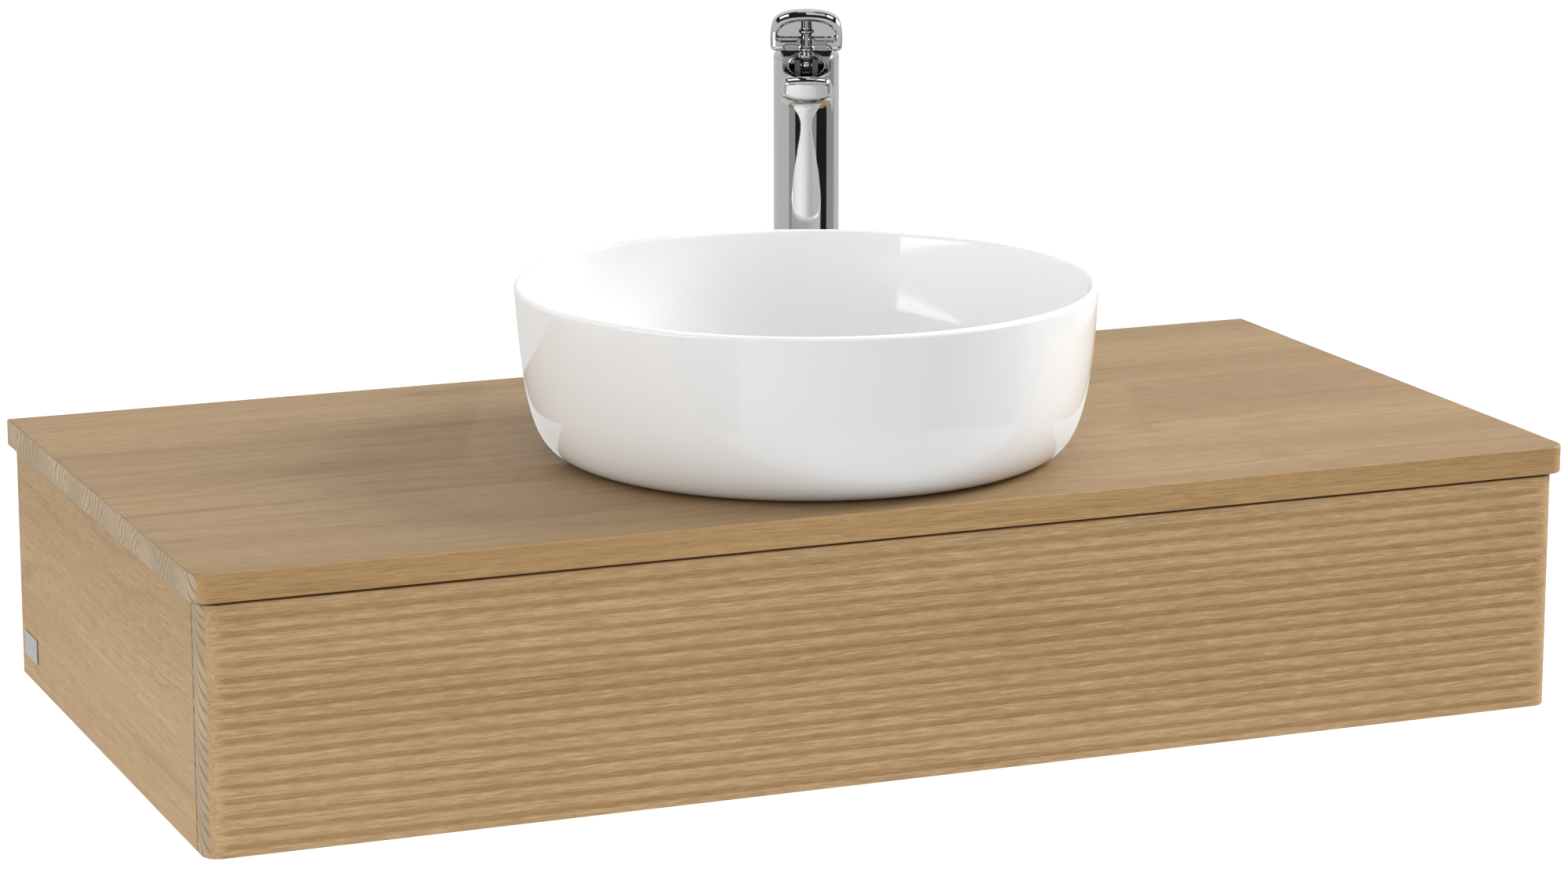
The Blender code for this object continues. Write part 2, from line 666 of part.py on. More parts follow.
def make_tap_body():
    mesh = extruded_mesh(column_outline(), (BASE_Z, TAP_TOP), "Z")
    round_edges(mesh, lambda a, b: min(a.z, b.z) > TAP_TOP - 1e-5, 0.0050, 3)
    body = on_tap(from_bmesh("tap_body", mesh, CHROME))
    boolean(body, on_tap(spout_block("add_spout")), "UNION")
    boolean(body, on_tap(pocket_block("cut_pocket")))
    boolean(body, on_tap(drill("cut_cartridge", BORE, (0, PIVOT_Y, 0), BORE_LOW, 0.46, 30)))
    boolean(body, on_tap(drill("cut_hollow", 0.0180, (0, 0, 0), 0.18, 0.3750)))
    boolean(body, on_tap(drill("cut_port", 0.0040, (0, PIVOT_Y, 0), 0.370, 0.390, 12)))
    boolean(body, on_tap(drill("cut_aerator", 0.0098, (0, -AERATOR_REACH, 0), 0.405, 0.4245)))
    channel = swept("cut_channel", [(0, -0.010, 0.3985), (0, -AERATOR_REACH, 0.4225)], 0.0045)
    boolean(body, on_tap(channel))
    smooth(body)


def make_tap_base():
    axis = (0, 0, 0)
    on_tap(turned("tap_base_ring", tube_profile(0.0180, 0.0262, TOP_Z + GAP, BASE_Z - GAP), axis, RUBBER))
    plug = on_tap(turned("tap_base_plug", rod_profile(0.0176, BASE_Z + 0.0005, 0.2060), axis, BRASS))
    for x, y, radius in ((0, STUD_Y, 0.0043), (-NIPPLE_X, NIPPLE_Y, 0.0053), (NIPPLE_X, NIPPLE_Y, 0.0053)):
        boolean(plug, on_tap(drill("cut_base", radius, (x, y, 0), 0.18, 0.22, 12)))
    washer_top = TOP_LOW - GAP
    washer = on_tap(turned("tap_washer", rod_profile(0.0240, washer_top - 0.0040, washer_top), axis, ZINC))
    boolean(washer, on_tap(box("cut_horseshoe", (-0.0145, -0.030, 0.16), (0.0145, 0.0010, 0.18))))
    boolean(washer, on_tap(drill("cut_washer", 0.0043, (0, STUD_Y, 0), 0.16, 0.18, 12)))
    nut_top = washer_top - 0.0040 - GAP
    hexagon("tap_nut", 0.013, 0.0043, (nut_top - 0.0065, nut_top), (0, STUD_Y), on_tap)
    on_tap(turned("tap_stud", rod_profile(0.0040, 0.1150, 0.2050), (0, STUD_Y, 0), BRASS, 12))


def make_inlet(side, word):
    """A threaded nipple that a supply hose screws on to."""
    profile = [(0.0030, 0.1480), (0.0060, 0.1480), (0.0060, 0.1560), (0.0050, 0.1570),
               (0.0050, 0.2050), (0.0030, 0.2050)]
    on_tap(turned("inlet_" + word, profile, (side * NIPPLE_X, NIPPLE_Y, 0), BRASS, 16))


def make_cartridge():
    low = BORE_LOW + GAP
    place = (0, PIVOT_Y, 0)
    on_tap(turned("tap_cartridge", tube_profile(0.0020, 0.0125, low, 0.4080), place, PLASTIC))
    on_tap(turned("cartridge_nut", tube_profile(0.0117, 0.0126, 0.4083, 0.4123), place, BRASS))
    yoke = on_tap(turned("lever_yoke", rod_profile(0.0113, 0.4083, 0.4140), place, PLASTIC))
    half = 0.0045
    cheeks = on_tap(box("add_cheeks", (-0.0085, PIVOT_Y - half, 0.4120), (0.0085, PIVOT_Y + half, 0.4290)))
    boolean(yoke, cheeks, "UNION")
    boolean(yoke, on_tap(box("cut_slot", (-half, -0.020, 0.4165), (half, 0.010, 0.4400))))
    pivot = (0, PIVOT_Y, PIVOT_Z)
    boolean(yoke, on_tap(drill("cut_pin", PIN + GAP, pivot, -0.02, 0.02, 12, "X")))
    on_tap(turned("lever_pin", rod_profile(PIN, -0.0085, 0.0085), pivot, ZINC, 12, "X"))


def stem_profile():
    """The turned stem: ball, waist, two collars and the spigot held by the handle."""
    ball = [(x, z) for x, z in arc((0, PIVOT_Z), 0.0036, -90, 30, 6)]
    ball[0] = (0, ball[0][1])
    return ball + [(0.0026, 0.4285), (0.0040, 0.4300), (0.0060, 0.4315), (0.0060, 0.4335), (0.0042, 0.4355),
                   (0.0052, 0.4370), (0.0052, 0.4385), (0.0040, 0.4395), (0.0040, 0.4495), (0.0058, 0.4505),
                   (0.0058, 0.4515), (0.0040, 0.4530), (0.0040, 0.4615), (0, 0.4615)]


def handle_outline():
    """The hood seen from the front: a crowned top over sides that lean in slightly."""
    low = HANDLE_LOW
    corner = arc((0.0229, low + 0.0040), 0.0038, 270, 360, 3)
    side = cubic(corner[-1], (0.0272, low + 0.0215), (0.0265, low + 0.0295), (0.0, low + 0.0295), 9)[1:]
    right = corner + side
    return right + [(-a, b) for a, b in reversed(right[:-1])]


def window_outline():
    """The front opening of the hood: a flat sill under a low arch."""
    sill = HANDLE_LOW + 0.0085
    corner = arc((0.0195, sill + 0.0025), 0.0025, 270, 350, 3)
    arch = cubic(corner[-1], (0.0222, sill + 0.0095), (0.0140, sill + 0.0140), (0.0, sill + 0.0140), 7)[1:]
    right = corner + arch
    return right + [(-a, b) for a, b in reversed(right[:-1])]


HANDLE_FRONT = -0.0180
HANDLE_REAR = 0.0090
HANDLE_LEAN = 0.14        # the hood's front face leans back as it rises


def make_handle():
    mesh = extruded_mesh(handle_outline(), (HANDLE_FRONT, HANDLE_REAR), "Y")
    for vert in mesh.verts:
        if vert.co.y < 0:
            vert.co.y += HANDLE_LEAN * (vert.co.z - HANDLE_LOW)
    handle = on_tap(from_bmesh("tap_handle", mesh, CHROME))
    add_bevel(handle, 0.0022, 2)
    boolean(handle, on_tap(extruded("cut_window", window_outline(), (HANDLE_FRONT - 0.01, 0.0040), "Y")))
    front = HANDLE_FRONT - 0.01
    boolean(handle, on_tap(box("cut_collar_room", (-0.0060, front, 0.4300), (0.0060, 0.0, 0.4398))))
    boolean(handle, on_tap(box("cut_notch", (-0.0060, front, 0.4380), (0.0060, -0.0060, 0.4470))))
    slot = ((-0.0165, front, HANDLE_LOW + 0.0016), (0.0165, -0.0130, HANDLE_LOW + 0.0056))
    boolean(handle, on_tap(box("cut_slot", *slot)))
    relief = [(PIVOT_Y, HANDLE_LOW - 0.0002), (0.0200, HANDLE_LOW + 0.0115), (0.0200, 0.4200),
              (PIVOT_Y, 0.4200)]
    boolean(handle, on_tap(extruded("cut_relief", relief, (-0.04, 0.04), "X")))
    boolean(handle, on_tap(drill("cut_stem", 0.0043, (0, PIVOT_Y, 0), 0.4380, 0.4620, 16)))
    boolean(handle, on_tap(drill("cut_grub", 0.0022, (0, 0, 0.4600), PIVOT_Y, 0.020, 12, "Y")))
    smooth(handle)
    stem = on_tap(turned("handle_stem", stem_profile(), (0, PIVOT_Y, 0), CHROME, 16))
    boolean(stem, on_tap(drill("cut_ball", PIN + GAP, (0, PIVOT_Y, PIVOT_Z), -0.01, 0.01, 12, "X")))
    screw = rod_profile(0.0019, PIVOT_Y + 0.0043, HANDLE_REAR - 0.0005)
    on_tap(turned("handle_screw", screw, (0, 0, 0.4600), ZINC, 12, "Y"))


def make_aerator():
    profile = [(0.0030, 0.4133), (0.0088, 0.4133), (0.0095, 0.4140), (0.0095, 0.4220), (0.0030, 0.4220)]
    on_tap(turned("aerator", profile, (0, -AERATOR_REACH, 0), CHROME))


def centre_the_box():
    """Move the whole model back, since the basin's rim stands proud of the worktop's front edge."""
    proud = BASIN_RADIUS - BASIN_Y - DEPTH / 2
    for item in bpy.data.objects:
        item.matrix_world = Matrix.Translation((0, proud / 2, 0)) @ item.matrix_world


def main():
    start_scene()
    make_worktop()
    both_sides(make_side_panel)
    make_boards()
    both_sides(make_worktop_screw)
    both_sides(make_hanger)
    make_wall_rail()
    make_badge_plate()
    make_drawer_front()
    both_sides(make_drawer_side)
    make_drawer_bottom()
    both_sides(make_drawer_back)
    make_liner()
    both_sides(make_front_bracket)
    both_sides(make_runner)
    both_sides(make_push_latch)
    make_basin()
    make_waste()
    make_waste_fixing()
    make_inlet_pipe()
    make_trap()
    make_tap_body()
    make_tap_base()
    for side, word in ((-1, "hot"), (1, "cold")):
        make_inlet(side, word)
    make_cartridge()
    make_handle()
    make_aerator()
    centre_the_box()


main()
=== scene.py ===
"""Looks of a wall-hung oak vanity with a vessel basin and a tall lever tap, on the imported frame.

Metres, +Z up, in the frame's own axes: the front faces -Y, the wall plane is at +Y.
Places come from the boxes of the frame's nodes. The tap is built in its own axes, spout along -Y.
"""
import json
import math

import bmesh
import bpy
import numpy as np
from mathutils import Matrix, Vector


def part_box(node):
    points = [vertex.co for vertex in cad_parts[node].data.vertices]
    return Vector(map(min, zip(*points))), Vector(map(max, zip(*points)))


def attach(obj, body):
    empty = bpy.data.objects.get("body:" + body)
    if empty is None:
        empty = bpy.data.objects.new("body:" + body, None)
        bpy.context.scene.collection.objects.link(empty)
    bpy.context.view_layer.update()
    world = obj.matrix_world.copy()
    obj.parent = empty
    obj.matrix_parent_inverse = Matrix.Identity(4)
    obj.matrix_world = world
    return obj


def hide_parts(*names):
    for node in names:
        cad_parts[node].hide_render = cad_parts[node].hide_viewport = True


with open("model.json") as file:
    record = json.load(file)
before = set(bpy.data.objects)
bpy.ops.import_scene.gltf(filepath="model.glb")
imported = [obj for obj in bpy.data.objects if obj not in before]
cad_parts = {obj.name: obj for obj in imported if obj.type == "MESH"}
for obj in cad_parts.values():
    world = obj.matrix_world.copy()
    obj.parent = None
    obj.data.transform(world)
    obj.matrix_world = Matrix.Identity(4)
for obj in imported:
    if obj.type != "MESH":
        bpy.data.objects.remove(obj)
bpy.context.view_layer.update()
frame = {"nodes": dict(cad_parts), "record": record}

# ---- places read from the frame ----
TOP_LOW, TOP_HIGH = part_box("worktop")
FRONT_LOW, FRONT_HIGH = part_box("drawer_front")
BASIN_LOW, BASIN_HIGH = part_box("basin")
RING_LOW, RING_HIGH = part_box("tap_base_ring")
TRAP_LOW, TRAP_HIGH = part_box("trap_body")
ROSETTE_LOW, ROSETTE_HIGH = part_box("wall_rosette")

BASIN_X, BASIN_Y = (BASIN_LOW.x + BASIN_HIGH.x) / 2, (BASIN_LOW.y + BASIN_HIGH.y) / 2
BASIN_Z = BASIN_LOW.z
BASIN_RADIUS = (BASIN_HIGH.x - BASIN_LOW.x) / 2
BASIN_HEIGHT = BASIN_HIGH.z - BASIN_LOW.z
TAP_X, TAP_Y = (RING_LOW.x + RING_HIGH.x) / 2, (RING_LOW.y + RING_HIGH.y) / 2
TAP_TURN = -math.radians(22.24)
ON_TAP = Matrix.Translation((TAP_X, TAP_Y, 0)) @ Matrix.Rotation(TAP_TURN, 4, "Z")

FINE = 96                 # steps of a large turned piece


# ---- node helper ----
class Look:
    """One material's node tree, with short calls for the nodes that the finishes share."""

    def __init__(self, name, colour, roughness, metallic=0.0):
        self.material = bpy.data.materials.new(name)
        self.material.use_nodes = True
        self.tree = self.material.node_tree
        self.shader = self.tree.nodes["Principled BSDF"]
        self.shader.inputs["Base Color"].default_value = (*colour, 1.0)
        self.shader.inputs["Roughness"].default_value = roughness
        self.shader.inputs["Metallic"].default_value = metallic
        self.coordinates = self.tree.nodes.new("ShaderNodeTexCoord")

    def plug(self, value, socket):
        if isinstance(value, (int, float)):
            socket.default_value = value
        elif isinstance(value, tuple):
            socket.default_value = (*value, 1.0) if len(socket.default_value) == 4 else value
        else:
            self.tree.links.new(value, socket)

    def point(self, scale=(1, 1, 1), place=(0, 0, 0)):
        """Object coordinates, scaled apart along each axis, then moved."""
        made = self.tree.nodes.new("ShaderNodeMapping")
        self.plug(self.coordinates.outputs["Object"], made.inputs["Vector"])
        made.inputs["Scale"].default_value = scale
        made.inputs["Location"].default_value = place
        return made.outputs["Vector"]

    def noise(self, vector, scale=1.0, detail=2.0, roughness=0.5, distortion=0.0):
        made = self.tree.nodes.new("ShaderNodeTexNoise")
        self.plug(vector, made.inputs["Vector"])
        made.inputs["Scale"].default_value = scale
        made.inputs["Detail"].default_value = detail
        made.inputs["Roughness"].default_value = roughness
        made.inputs["Distortion"].default_value = distortion
        return made.outputs["Fac"]

    def math(self, operation, a, b=0.0, c=0.0):
        made = self.tree.nodes.new("ShaderNodeMath")
        made.operation = operation
        for value, socket in zip((a, b, c), made.inputs):
            self.plug(value, socket)
        return made.outputs["Value"]

    def span(self, value, low, high, to_low=0.0, to_high=1.0):
        """The value carried smoothly from one span to another, and held at its ends."""
        made = self.tree.nodes.new("ShaderNodeMapRange")
        made.interpolation_type = "SMOOTHSTEP"
        for item, socket in zip((value, low, high, to_low, to_high), made.inputs):
            self.plug(item, socket)
        return made.outputs["Result"]

    def mix(self, factor, a, b, blend="MIX"):
        made = self.tree.nodes.new("ShaderNodeMix")
        made.data_type = "RGBA"
        made.blend_type = blend
        self.plug(factor, made.inputs["Factor"])
        self.plug(a, made.inputs[6])
        self.plug(b, made.inputs[7])
        return made.outputs[2]

    def split(self, vector):
        made = self.tree.nodes.new("ShaderNodeSeparateXYZ")
        self.plug(vector, made.inputs["Vector"])
        return made.outputs["X"], made.outputs["Y"], made.outputs["Z"]

    def bump(self, height, strength, distance):
        made = self.tree.nodes.new("ShaderNodeBump")
        made.inputs["Strength"].default_value = strength
        made.inputs["Distance"].default_value = distance
        self.plug(height, made.inputs["Height"])
        self.plug(made.outputs["Normal"], self.shader.inputs["Normal"])

    def colour(self, value):
        self.plug(value, self.shader.inputs["Base Color"])

    def roughness(self, value):
        self.plug(value, self.shader.inputs["Roughness"])


# ---- finishes ----
def oak(name, grain, light, dark, figure=1.0, dash=0.16, hollow=None, edge=None, darker_below=None):
    """Matt-oiled oak, fibres along X or Y: soft boards, growth lines, pores and end grain.

    A hollow gets painted shade, darker between two depths; an upright front edge is painted lighter than
    the face, standing in for the different light it gets; and below a wavy line near the bottom the wood
    is darker.
    """
    look = Look(name, light, 0.5)
    along_axis = 0 if grain == "X" else 1
    look.shader.inputs["Specular IOR Level"].default_value = 0.32

    def stretched(along, across, seed=0.0):
        scale = (along, across, across) if grain == "X" else (across, along, across)
        return look.point(scale, (seed, seed * 0.7, seed * 0.3))

    places = look.split(look.point())
    across = places[1 - along_axis]
    line = tuple(c * s for c, s in zip(dark, (0.80, 0.74, 0.66)))
    boards = look.noise(stretched(0.7, 9.0, 3.1), detail=2.0, roughness=0.55)
    bend = look.noise(stretched(1.6, 9.0, 7.7), detail=2.0, roughness=0.55)
    height = look.math("MULTIPLY_ADD", places[2], 1.3, look.math("MULTIPLY", across, 0.35))
    rings = look.math("MULTIPLY_ADD", bend, 9.0, look.math("MULTIPLY", height, 34.0))
    rings = look.span(look.math("PINGPONG", rings, 0.5), 0.0, 0.22, 1.0, 0.0)
    fade = look.span(look.noise(stretched(2.5, 16.0, 6.6), detail=1.0), 0.42, 0.62)
    streaks = look.noise(stretched(1.2, 55.0, 1.9), detail=2.0, roughness=0.6)
    streaks = look.span(streaks, 0.60, 0.76)
    fibres = look.noise(stretched(9.0, 520.0, 2.2), detail=3.0, roughness=0.62)
    dashes = look.noise(stretched(75.0, 780.0, 8.8), detail=2.0, roughness=0.6)
    pores = look.noise(stretched(46.0, 1250.0, 5.5), detail=1.5, roughness=0.5)
    pore_zone = look.noise(stretched(3.0, 40.0, 9.4), detail=1.0)
    pores = look.span(look.math("MULTIPLY_ADD", pore_zone, 0.25, pores), 0.66, 0.80)

    wood = look.mix(look.span(boards, 0.34, 0.68), light, dark)
    rings = look.math("MULTIPLY", look.math("MULTIPLY", rings, fade), 0.42 * figure)
    wood = look.mix(rings, wood, line)
    wood = look.mix(look.math("MULTIPLY", streaks, 0.50 * figure), wood, line)
    wood = look.mix(look.span(fibres, 0.30, 0.70, 0.0, 0.34), wood, line)
    wood = look.mix(look.span(dashes, 0.50, 0.66, 0.0, dash), wood, line)
    pale = tuple(min(1, c * 1.22) for c in light)
    wood = look.mix(look.span(dashes, 0.48, 0.34, 0.0, dash), wood, pale)
    wood = look.mix(look.math("MULTIPLY", pores, 0.42), wood, tuple(c * 0.55 for c in dark))
    # painted shade: the wood is darkened the deeper it lies behind the front face, in the grooves'
    # hollows and on all that lies further back
    if hollow:
        depth = look.span(places[1], hollow[0], hollow[1], 0.0, 0.24)
        wood = look.mix(depth, wood, tuple(c * s for c, s in zip(dark, (0.62, 0.56, 0.46))))

    end = end_grain(look, across, places[2], dark)
    # the wood is darker below a wavy line near the given height
    if darker_below:
        lower = look.span(look.math("MULTIPLY_ADD", bend, 0.016, places[2]), darker_below + 0.012, darker_below + 0.004)
        wood = look.mix(look.math("MULTIPLY", lower, 0.32), wood, line)
    # painted light: faces turned across Y, such as the worktop's front edge, are made lighter than the
    # top, standing in for the different light that falls on them
    if edge:
        front = look.math("ABSOLUTE", look.split(look.coordinates.outputs["Normal"])[1])
        wood = look.mix(look.span(front, 0.4, 0.9), wood, look.mix(1.0, wood, edge, "MULTIPLY"))
    facing = look.split(look.coordinates.outputs["Normal"])[along_axis]
    cut = look.span(look.math("ABSOLUTE", facing), 0.55, 0.80)
    look.colour(look.mix(cut, wood, end))
    look.roughness(look.span(fibres, 0.2, 0.8, 0.50, 0.62))
    look.bump(look.math("SUBTRACT", fibres, look.math("MULTIPLY", pores, 0.8)), 0.25, 0.0005)
    return look.material


def end_grain(look, across, up, dark):
    """Grey-tan end grain: growth rings as nested chevrons, with fine pores."""
    wander = look.noise(look.point((14, 14, 22), (3, 1, 2)), detail=2.0)
    fold = look.math("PINGPONG", look.math("MULTIPLY_ADD", wander, 0.034, across), 0.048)
    rings = look.math("MULTIPLY_ADD", fold, 1.25, up)
    rings = look.math("MULTIPLY_ADD", wander, 0.014, rings)
    rings = look.math("PINGPONG", look.math("MULTIPLY", rings, 105.0), 0.5)
    pores = look.noise(look.point((900, 900, 900)), detail=1.0)
    base = look.mix(look.span(wander, 0.35, 0.65), (0.475, 0.360, 0.232), (0.385, 0.288, 0.180))
    ring = look.math("MULTIPLY", look.span(rings, 0.02, 0.24, 1.0, 0.0), 0.80)
    base = look.mix(ring, base, (0.21, 0.155, 0.100))
    return look.mix(look.span(pores, 0.55, 0.75, 0.0, 0.35), base, tuple(c * 0.6 for c in dark))


def glaze():
    """White sanitary glaze: glossy, with the faint orange peel of fired ceramic."""
    look = Look("white_glaze", (0.84, 0.84, 0.835), 0.06)
    look.shader.inputs["IOR"].default_value = 1.52
    peel = look.noise(look.point(), 90.0, 2.0)
    look.roughness(look.span(look.noise(look.point(), 14.0, 3.0), 0.3, 0.7, 0.045, 0.085))
    look.bump(peel, 0.02, 0.0004)
    return look.material


def metal(name, colour, roughness, brushed=(1, 1, 1), grain=0.0, depth=0.0):
    """A bare metal, with brush marks where the scales of the axes differ."""
    look = Look(name, colour, roughness, 1.0)
    marks = look.noise(look.point(brushed), 1.0, 2.0, 0.6)
    look.roughness(look.span(marks, 0.25, 0.75, roughness * (1 - grain), roughness * (1 + grain)))
    if depth:
        look.bump(marks, 0.15, depth)
    return look.material


def coated(name, colour, roughness, scale, depth, spread=0.06):
    """Plastic, rubber or powder coat: one colour that varies a little over a fine moulded texture."""
    look = Look(name, colour, roughness)
    texture = look.noise(look.point(), scale, 2.0, 0.6)
    broad = look.noise(look.point(), 9.0, 2.0)
    look.colour(look.mix(look.span(broad, 0.3, 0.7), colour, tuple(c * (1 - spread) for c in colour)))
    look.roughness(look.span(texture, 0.3, 0.7, roughness * 0.9, min(1.0, roughness * 1.12)))
    look.bump(texture, 0.25, depth)
    return look.material


# painted light: the worktop, drawer front and side panel are one oak set to different tones, the top
# darkest and the front lightest, standing in for the light each face gets; the worktop's front edge is
# painted lighter too
OAK_TOP = oak("oak_worktop", "X", (0.385, 0.258, 0.132), (0.290, 0.188, 0.091), 1.3,
              edge=(1.52, 1.44, 1.27))
# the drawer front's grooves get painted shade between the two depths given here
OAK_FRONT = oak("oak_drawer_front", "X", (0.610, 0.410, 0.212), (0.515, 0.335, 0.163), 0.6, 0.42,
                (FRONT_LOW.y + 0.0005, FRONT_LOW.y + 0.0018))
AERATOR_GREY = metal("satin_aerator", (0.20, 0.20, 0.205), 0.35, (400, 400, 400), 0.2)
OAK_SIDE = oak("oak_side_panel", "Y", (0.545, 0.372, 0.198), (0.415, 0.270, 0.134), 1.2, darker_below=0.070)
FINISHES = {
    "oak": OAK_TOP,
    "carcass_board": oak("oak_veneered_board", "X", (0.470, 0.335, 0.195), (0.410, 0.285, 0.160), 0.5),
    "drawer_board": coated("grey_coated_board", (0.30, 0.31, 0.32), 0.45, 700.0, 0.00006),
    "drawer_steel": coated("powder_coated_steel", (0.30, 0.31, 0.32), 0.5, 1400.0, 0.00008),
    "zinc_plate": metal("zinc_plated_steel", (0.56, 0.57, 0.585), 0.34, (60, 900, 900), 0.25, 0.00005),
    "chrome": metal("polished_chrome", (0.56, 0.565, 0.57), 0.04, (30, 30, 30), 0.4),
    "brass": metal("turned_brass", (0.66, 0.47, 0.21), 0.28, (90, 90, 2200), 0.3, 0.00004),
    "glaze": glaze(),
    "rubber": coated("black_rubber", (0.022, 0.022, 0.023), 0.75, 900.0, 0.0001, 0.3),
    "grey_plastic": coated("grey_moulded_plastic", (0.10, 0.10, 0.105), 0.48, 1100.0, 0.00006),
    "white_plastic": coated("white_moulded_plastic", (0.78, 0.78, 0.765), 0.36, 700.0, 0.00004, 0.03),
}


# ---- mesh helpers ----
def piece(name, mesh, body, slot, look=None, replaces=None, sharp=35.0, place=None, weighted=True):
    """A finished piece from a bmesh or a mesh: placed, shaded, on its body, standing for a node."""
    if isinstance(mesh, bmesh.types.BMesh):
        data = bpy.data.meshes.new(name)
        bmesh.ops.recalc_face_normals(mesh, faces=mesh.faces)
        mesh.to_mesh(data)
        mesh.free()
    else:
        data = mesh
    if place is not None:
        data.transform(place)
    data.name = name
    data.shade_smooth()
    data.set_sharp_from_angle(angle=math.radians(sharp))
    data.materials.clear()
    data.materials.append(look or FINISHES[slot])
    made = bpy.data.objects.new(name, data)
    bpy.context.scene.collection.objects.link(made)
    if weighted:
        flat = made.modifiers.new("even_normals", "WEIGHTED_NORMAL")
        flat.keep_sharp = True
    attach(made, body)
    if replaces:
        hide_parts(replaces)


def box_mesh(low, high):
    mesh = bmesh.new()
    bmesh.ops.create_cube(mesh, size=1.0)
    size = [b - a for a, b in zip(low, high)]
    middle = [(a + b) / 2 for a, b in zip(low, high)]
    place = Matrix.Translation(middle) @ Matrix.Diagonal((*size, 1.0))
    bmesh.ops.transform(mesh, matrix=place, verts=mesh.verts)
    return mesh


def round_edges(mesh, chosen, radius, segments):
    edges = [edge for edge in mesh.edges if chosen(edge.verts[0].co, edge.verts[1].co)]
    bmesh.ops.bevel(mesh, geom=edges, offset=radius, segments=segments, affect="EDGES", profile=0.5)


def arc(centre, radius, start, end, steps):
    """Points on an arc, angles in degrees."""
    angles = [math.radians(start + (end - start) * index / steps) for index in range(steps + 1)]
    return [(centre[0] + radius * math.cos(a), centre[1] + radius * math.sin(a)) for a in angles]


def cubic(start, pull_a, pull_b, end, count):
    """Points on a cubic curve through two pulls."""
    points = []
    for index in range(count + 1):
        t = index / count
        u = 1 - t
        weights = (u ** 3, 3 * u * u * t, 3 * u * t * t, t ** 3)
        points.append(tuple(sum(w * p[axis] for w, p in zip(weights, (start, pull_a, pull_b, end)))
                            for axis in (0, 1)))
    return points


def turned(profile, place=(0, 0, 0), steps=FINE, axis="Z"):
    """A bmesh from a profile of (radius, height) turned about Z or Y through place."""
    mesh = bmesh.new()
    verts = [mesh.verts.new((radius, 0.0, height)) for radius, height in profile]
    closed = all(radius > 1e-6 for radius, _ in profile)
    for index in range(len(verts) if closed else len(verts) - 1):
        mesh.edges.new((verts[index], verts[(index + 1) % len(verts)]))
    bmesh.ops.spin(mesh, geom=mesh.verts[:] + mesh.edges[:], cent=(0, 0, 0), axis=(0, 0, 1),
                   angle=2 * math.pi, steps=steps, use_merge=False)
    bmesh.ops.remove_doubles(mesh, verts=mesh.verts, dist=1e-6)
    turns = {"Z": Matrix(), "Y": Matrix.Rotation(-math.pi / 2, 4, "X")}
    bmesh.ops.transform(mesh, matrix=Matrix.Translation(place) @ turns[axis], verts=mesh.verts)
    return mesh


def rounded(profile, radius, steps=3):
    """A closed profile with each corner off the axis rounded by a small radius."""
    points = []
    count = len(profile)
    for index, corner in enumerate(profile):
        here = Vector(corner)
        back = Vector(profile[index - 1]) - here
        ahead = Vector(profile[(index + 1) % count]) - here
        if corner[0] < 1e-6 or not back.length or not ahead.length:
            points.append(corner)
            continue
        reach = min(radius, back.length * 0.45, ahead.length * 0.45)
        start = here + back.normalized() * reach
        end = here + ahead.normalized() * reach
        for step in range(steps + 1):
            t = step / steps
            point = (1 - t) ** 2 * start + 2 * t * (1 - t) * here + t * t * end
            points.append((point.x, point.y))
    return points


# ---- smooth solids from a distance field ----
def round_both(a, b, radius):
    """The field of what is inside both fields, with its edges rounded."""
    corner = np.hypot(np.maximum(a + radius, 0), np.maximum(b + radius, 0))
    return np.minimum(-radius, np.maximum(a, b)) + corner


def round_either(a, b, radius):
    """The field of what is inside either field, with a fillet where they meet."""
    corner = np.hypot(np.maximum(radius - a, 0), np.maximum(radius - b, 0))
    return np.maximum(radius, np.minimum(a, b)) - corner


def outline_field(outline, u, v):
    """Signed distance to a closed outline of points, negative inside."""
    nearest = np.full(u.shape, 1.0)
    inside = np.zeros(u.shape, bool)
    for (ax, ay), (bx, by) in zip(outline, outline[1:] + outline[:1]):
        ex, ey = bx - ax, by - ay
        if abs(ex) + abs(ey) < 1e-9:
            continue
        t = np.clip(((u - ax) * ex + (v - ay) * ey) / (ex * ex + ey * ey), 0, 1)
        nearest = np.minimum(nearest, np.hypot(u - ax - t * ex, v - ay - t * ey))
        if ey:
            inside ^= ((ay > v) != (by > v)) & (u < ex * (v - ay) / ey + ax)
    return np.where(inside, -nearest, nearest)


def cells_round(corner, axis):
    """The four cells that share each grid edge along an axis, in turning order."""
    first, second = np.eye(3, dtype=int)[(axis + 1) % 3], np.eye(3, dtype=int)[(axis + 2) % 3]
    return [corner, corner - first, corner - first - second, corner - second]


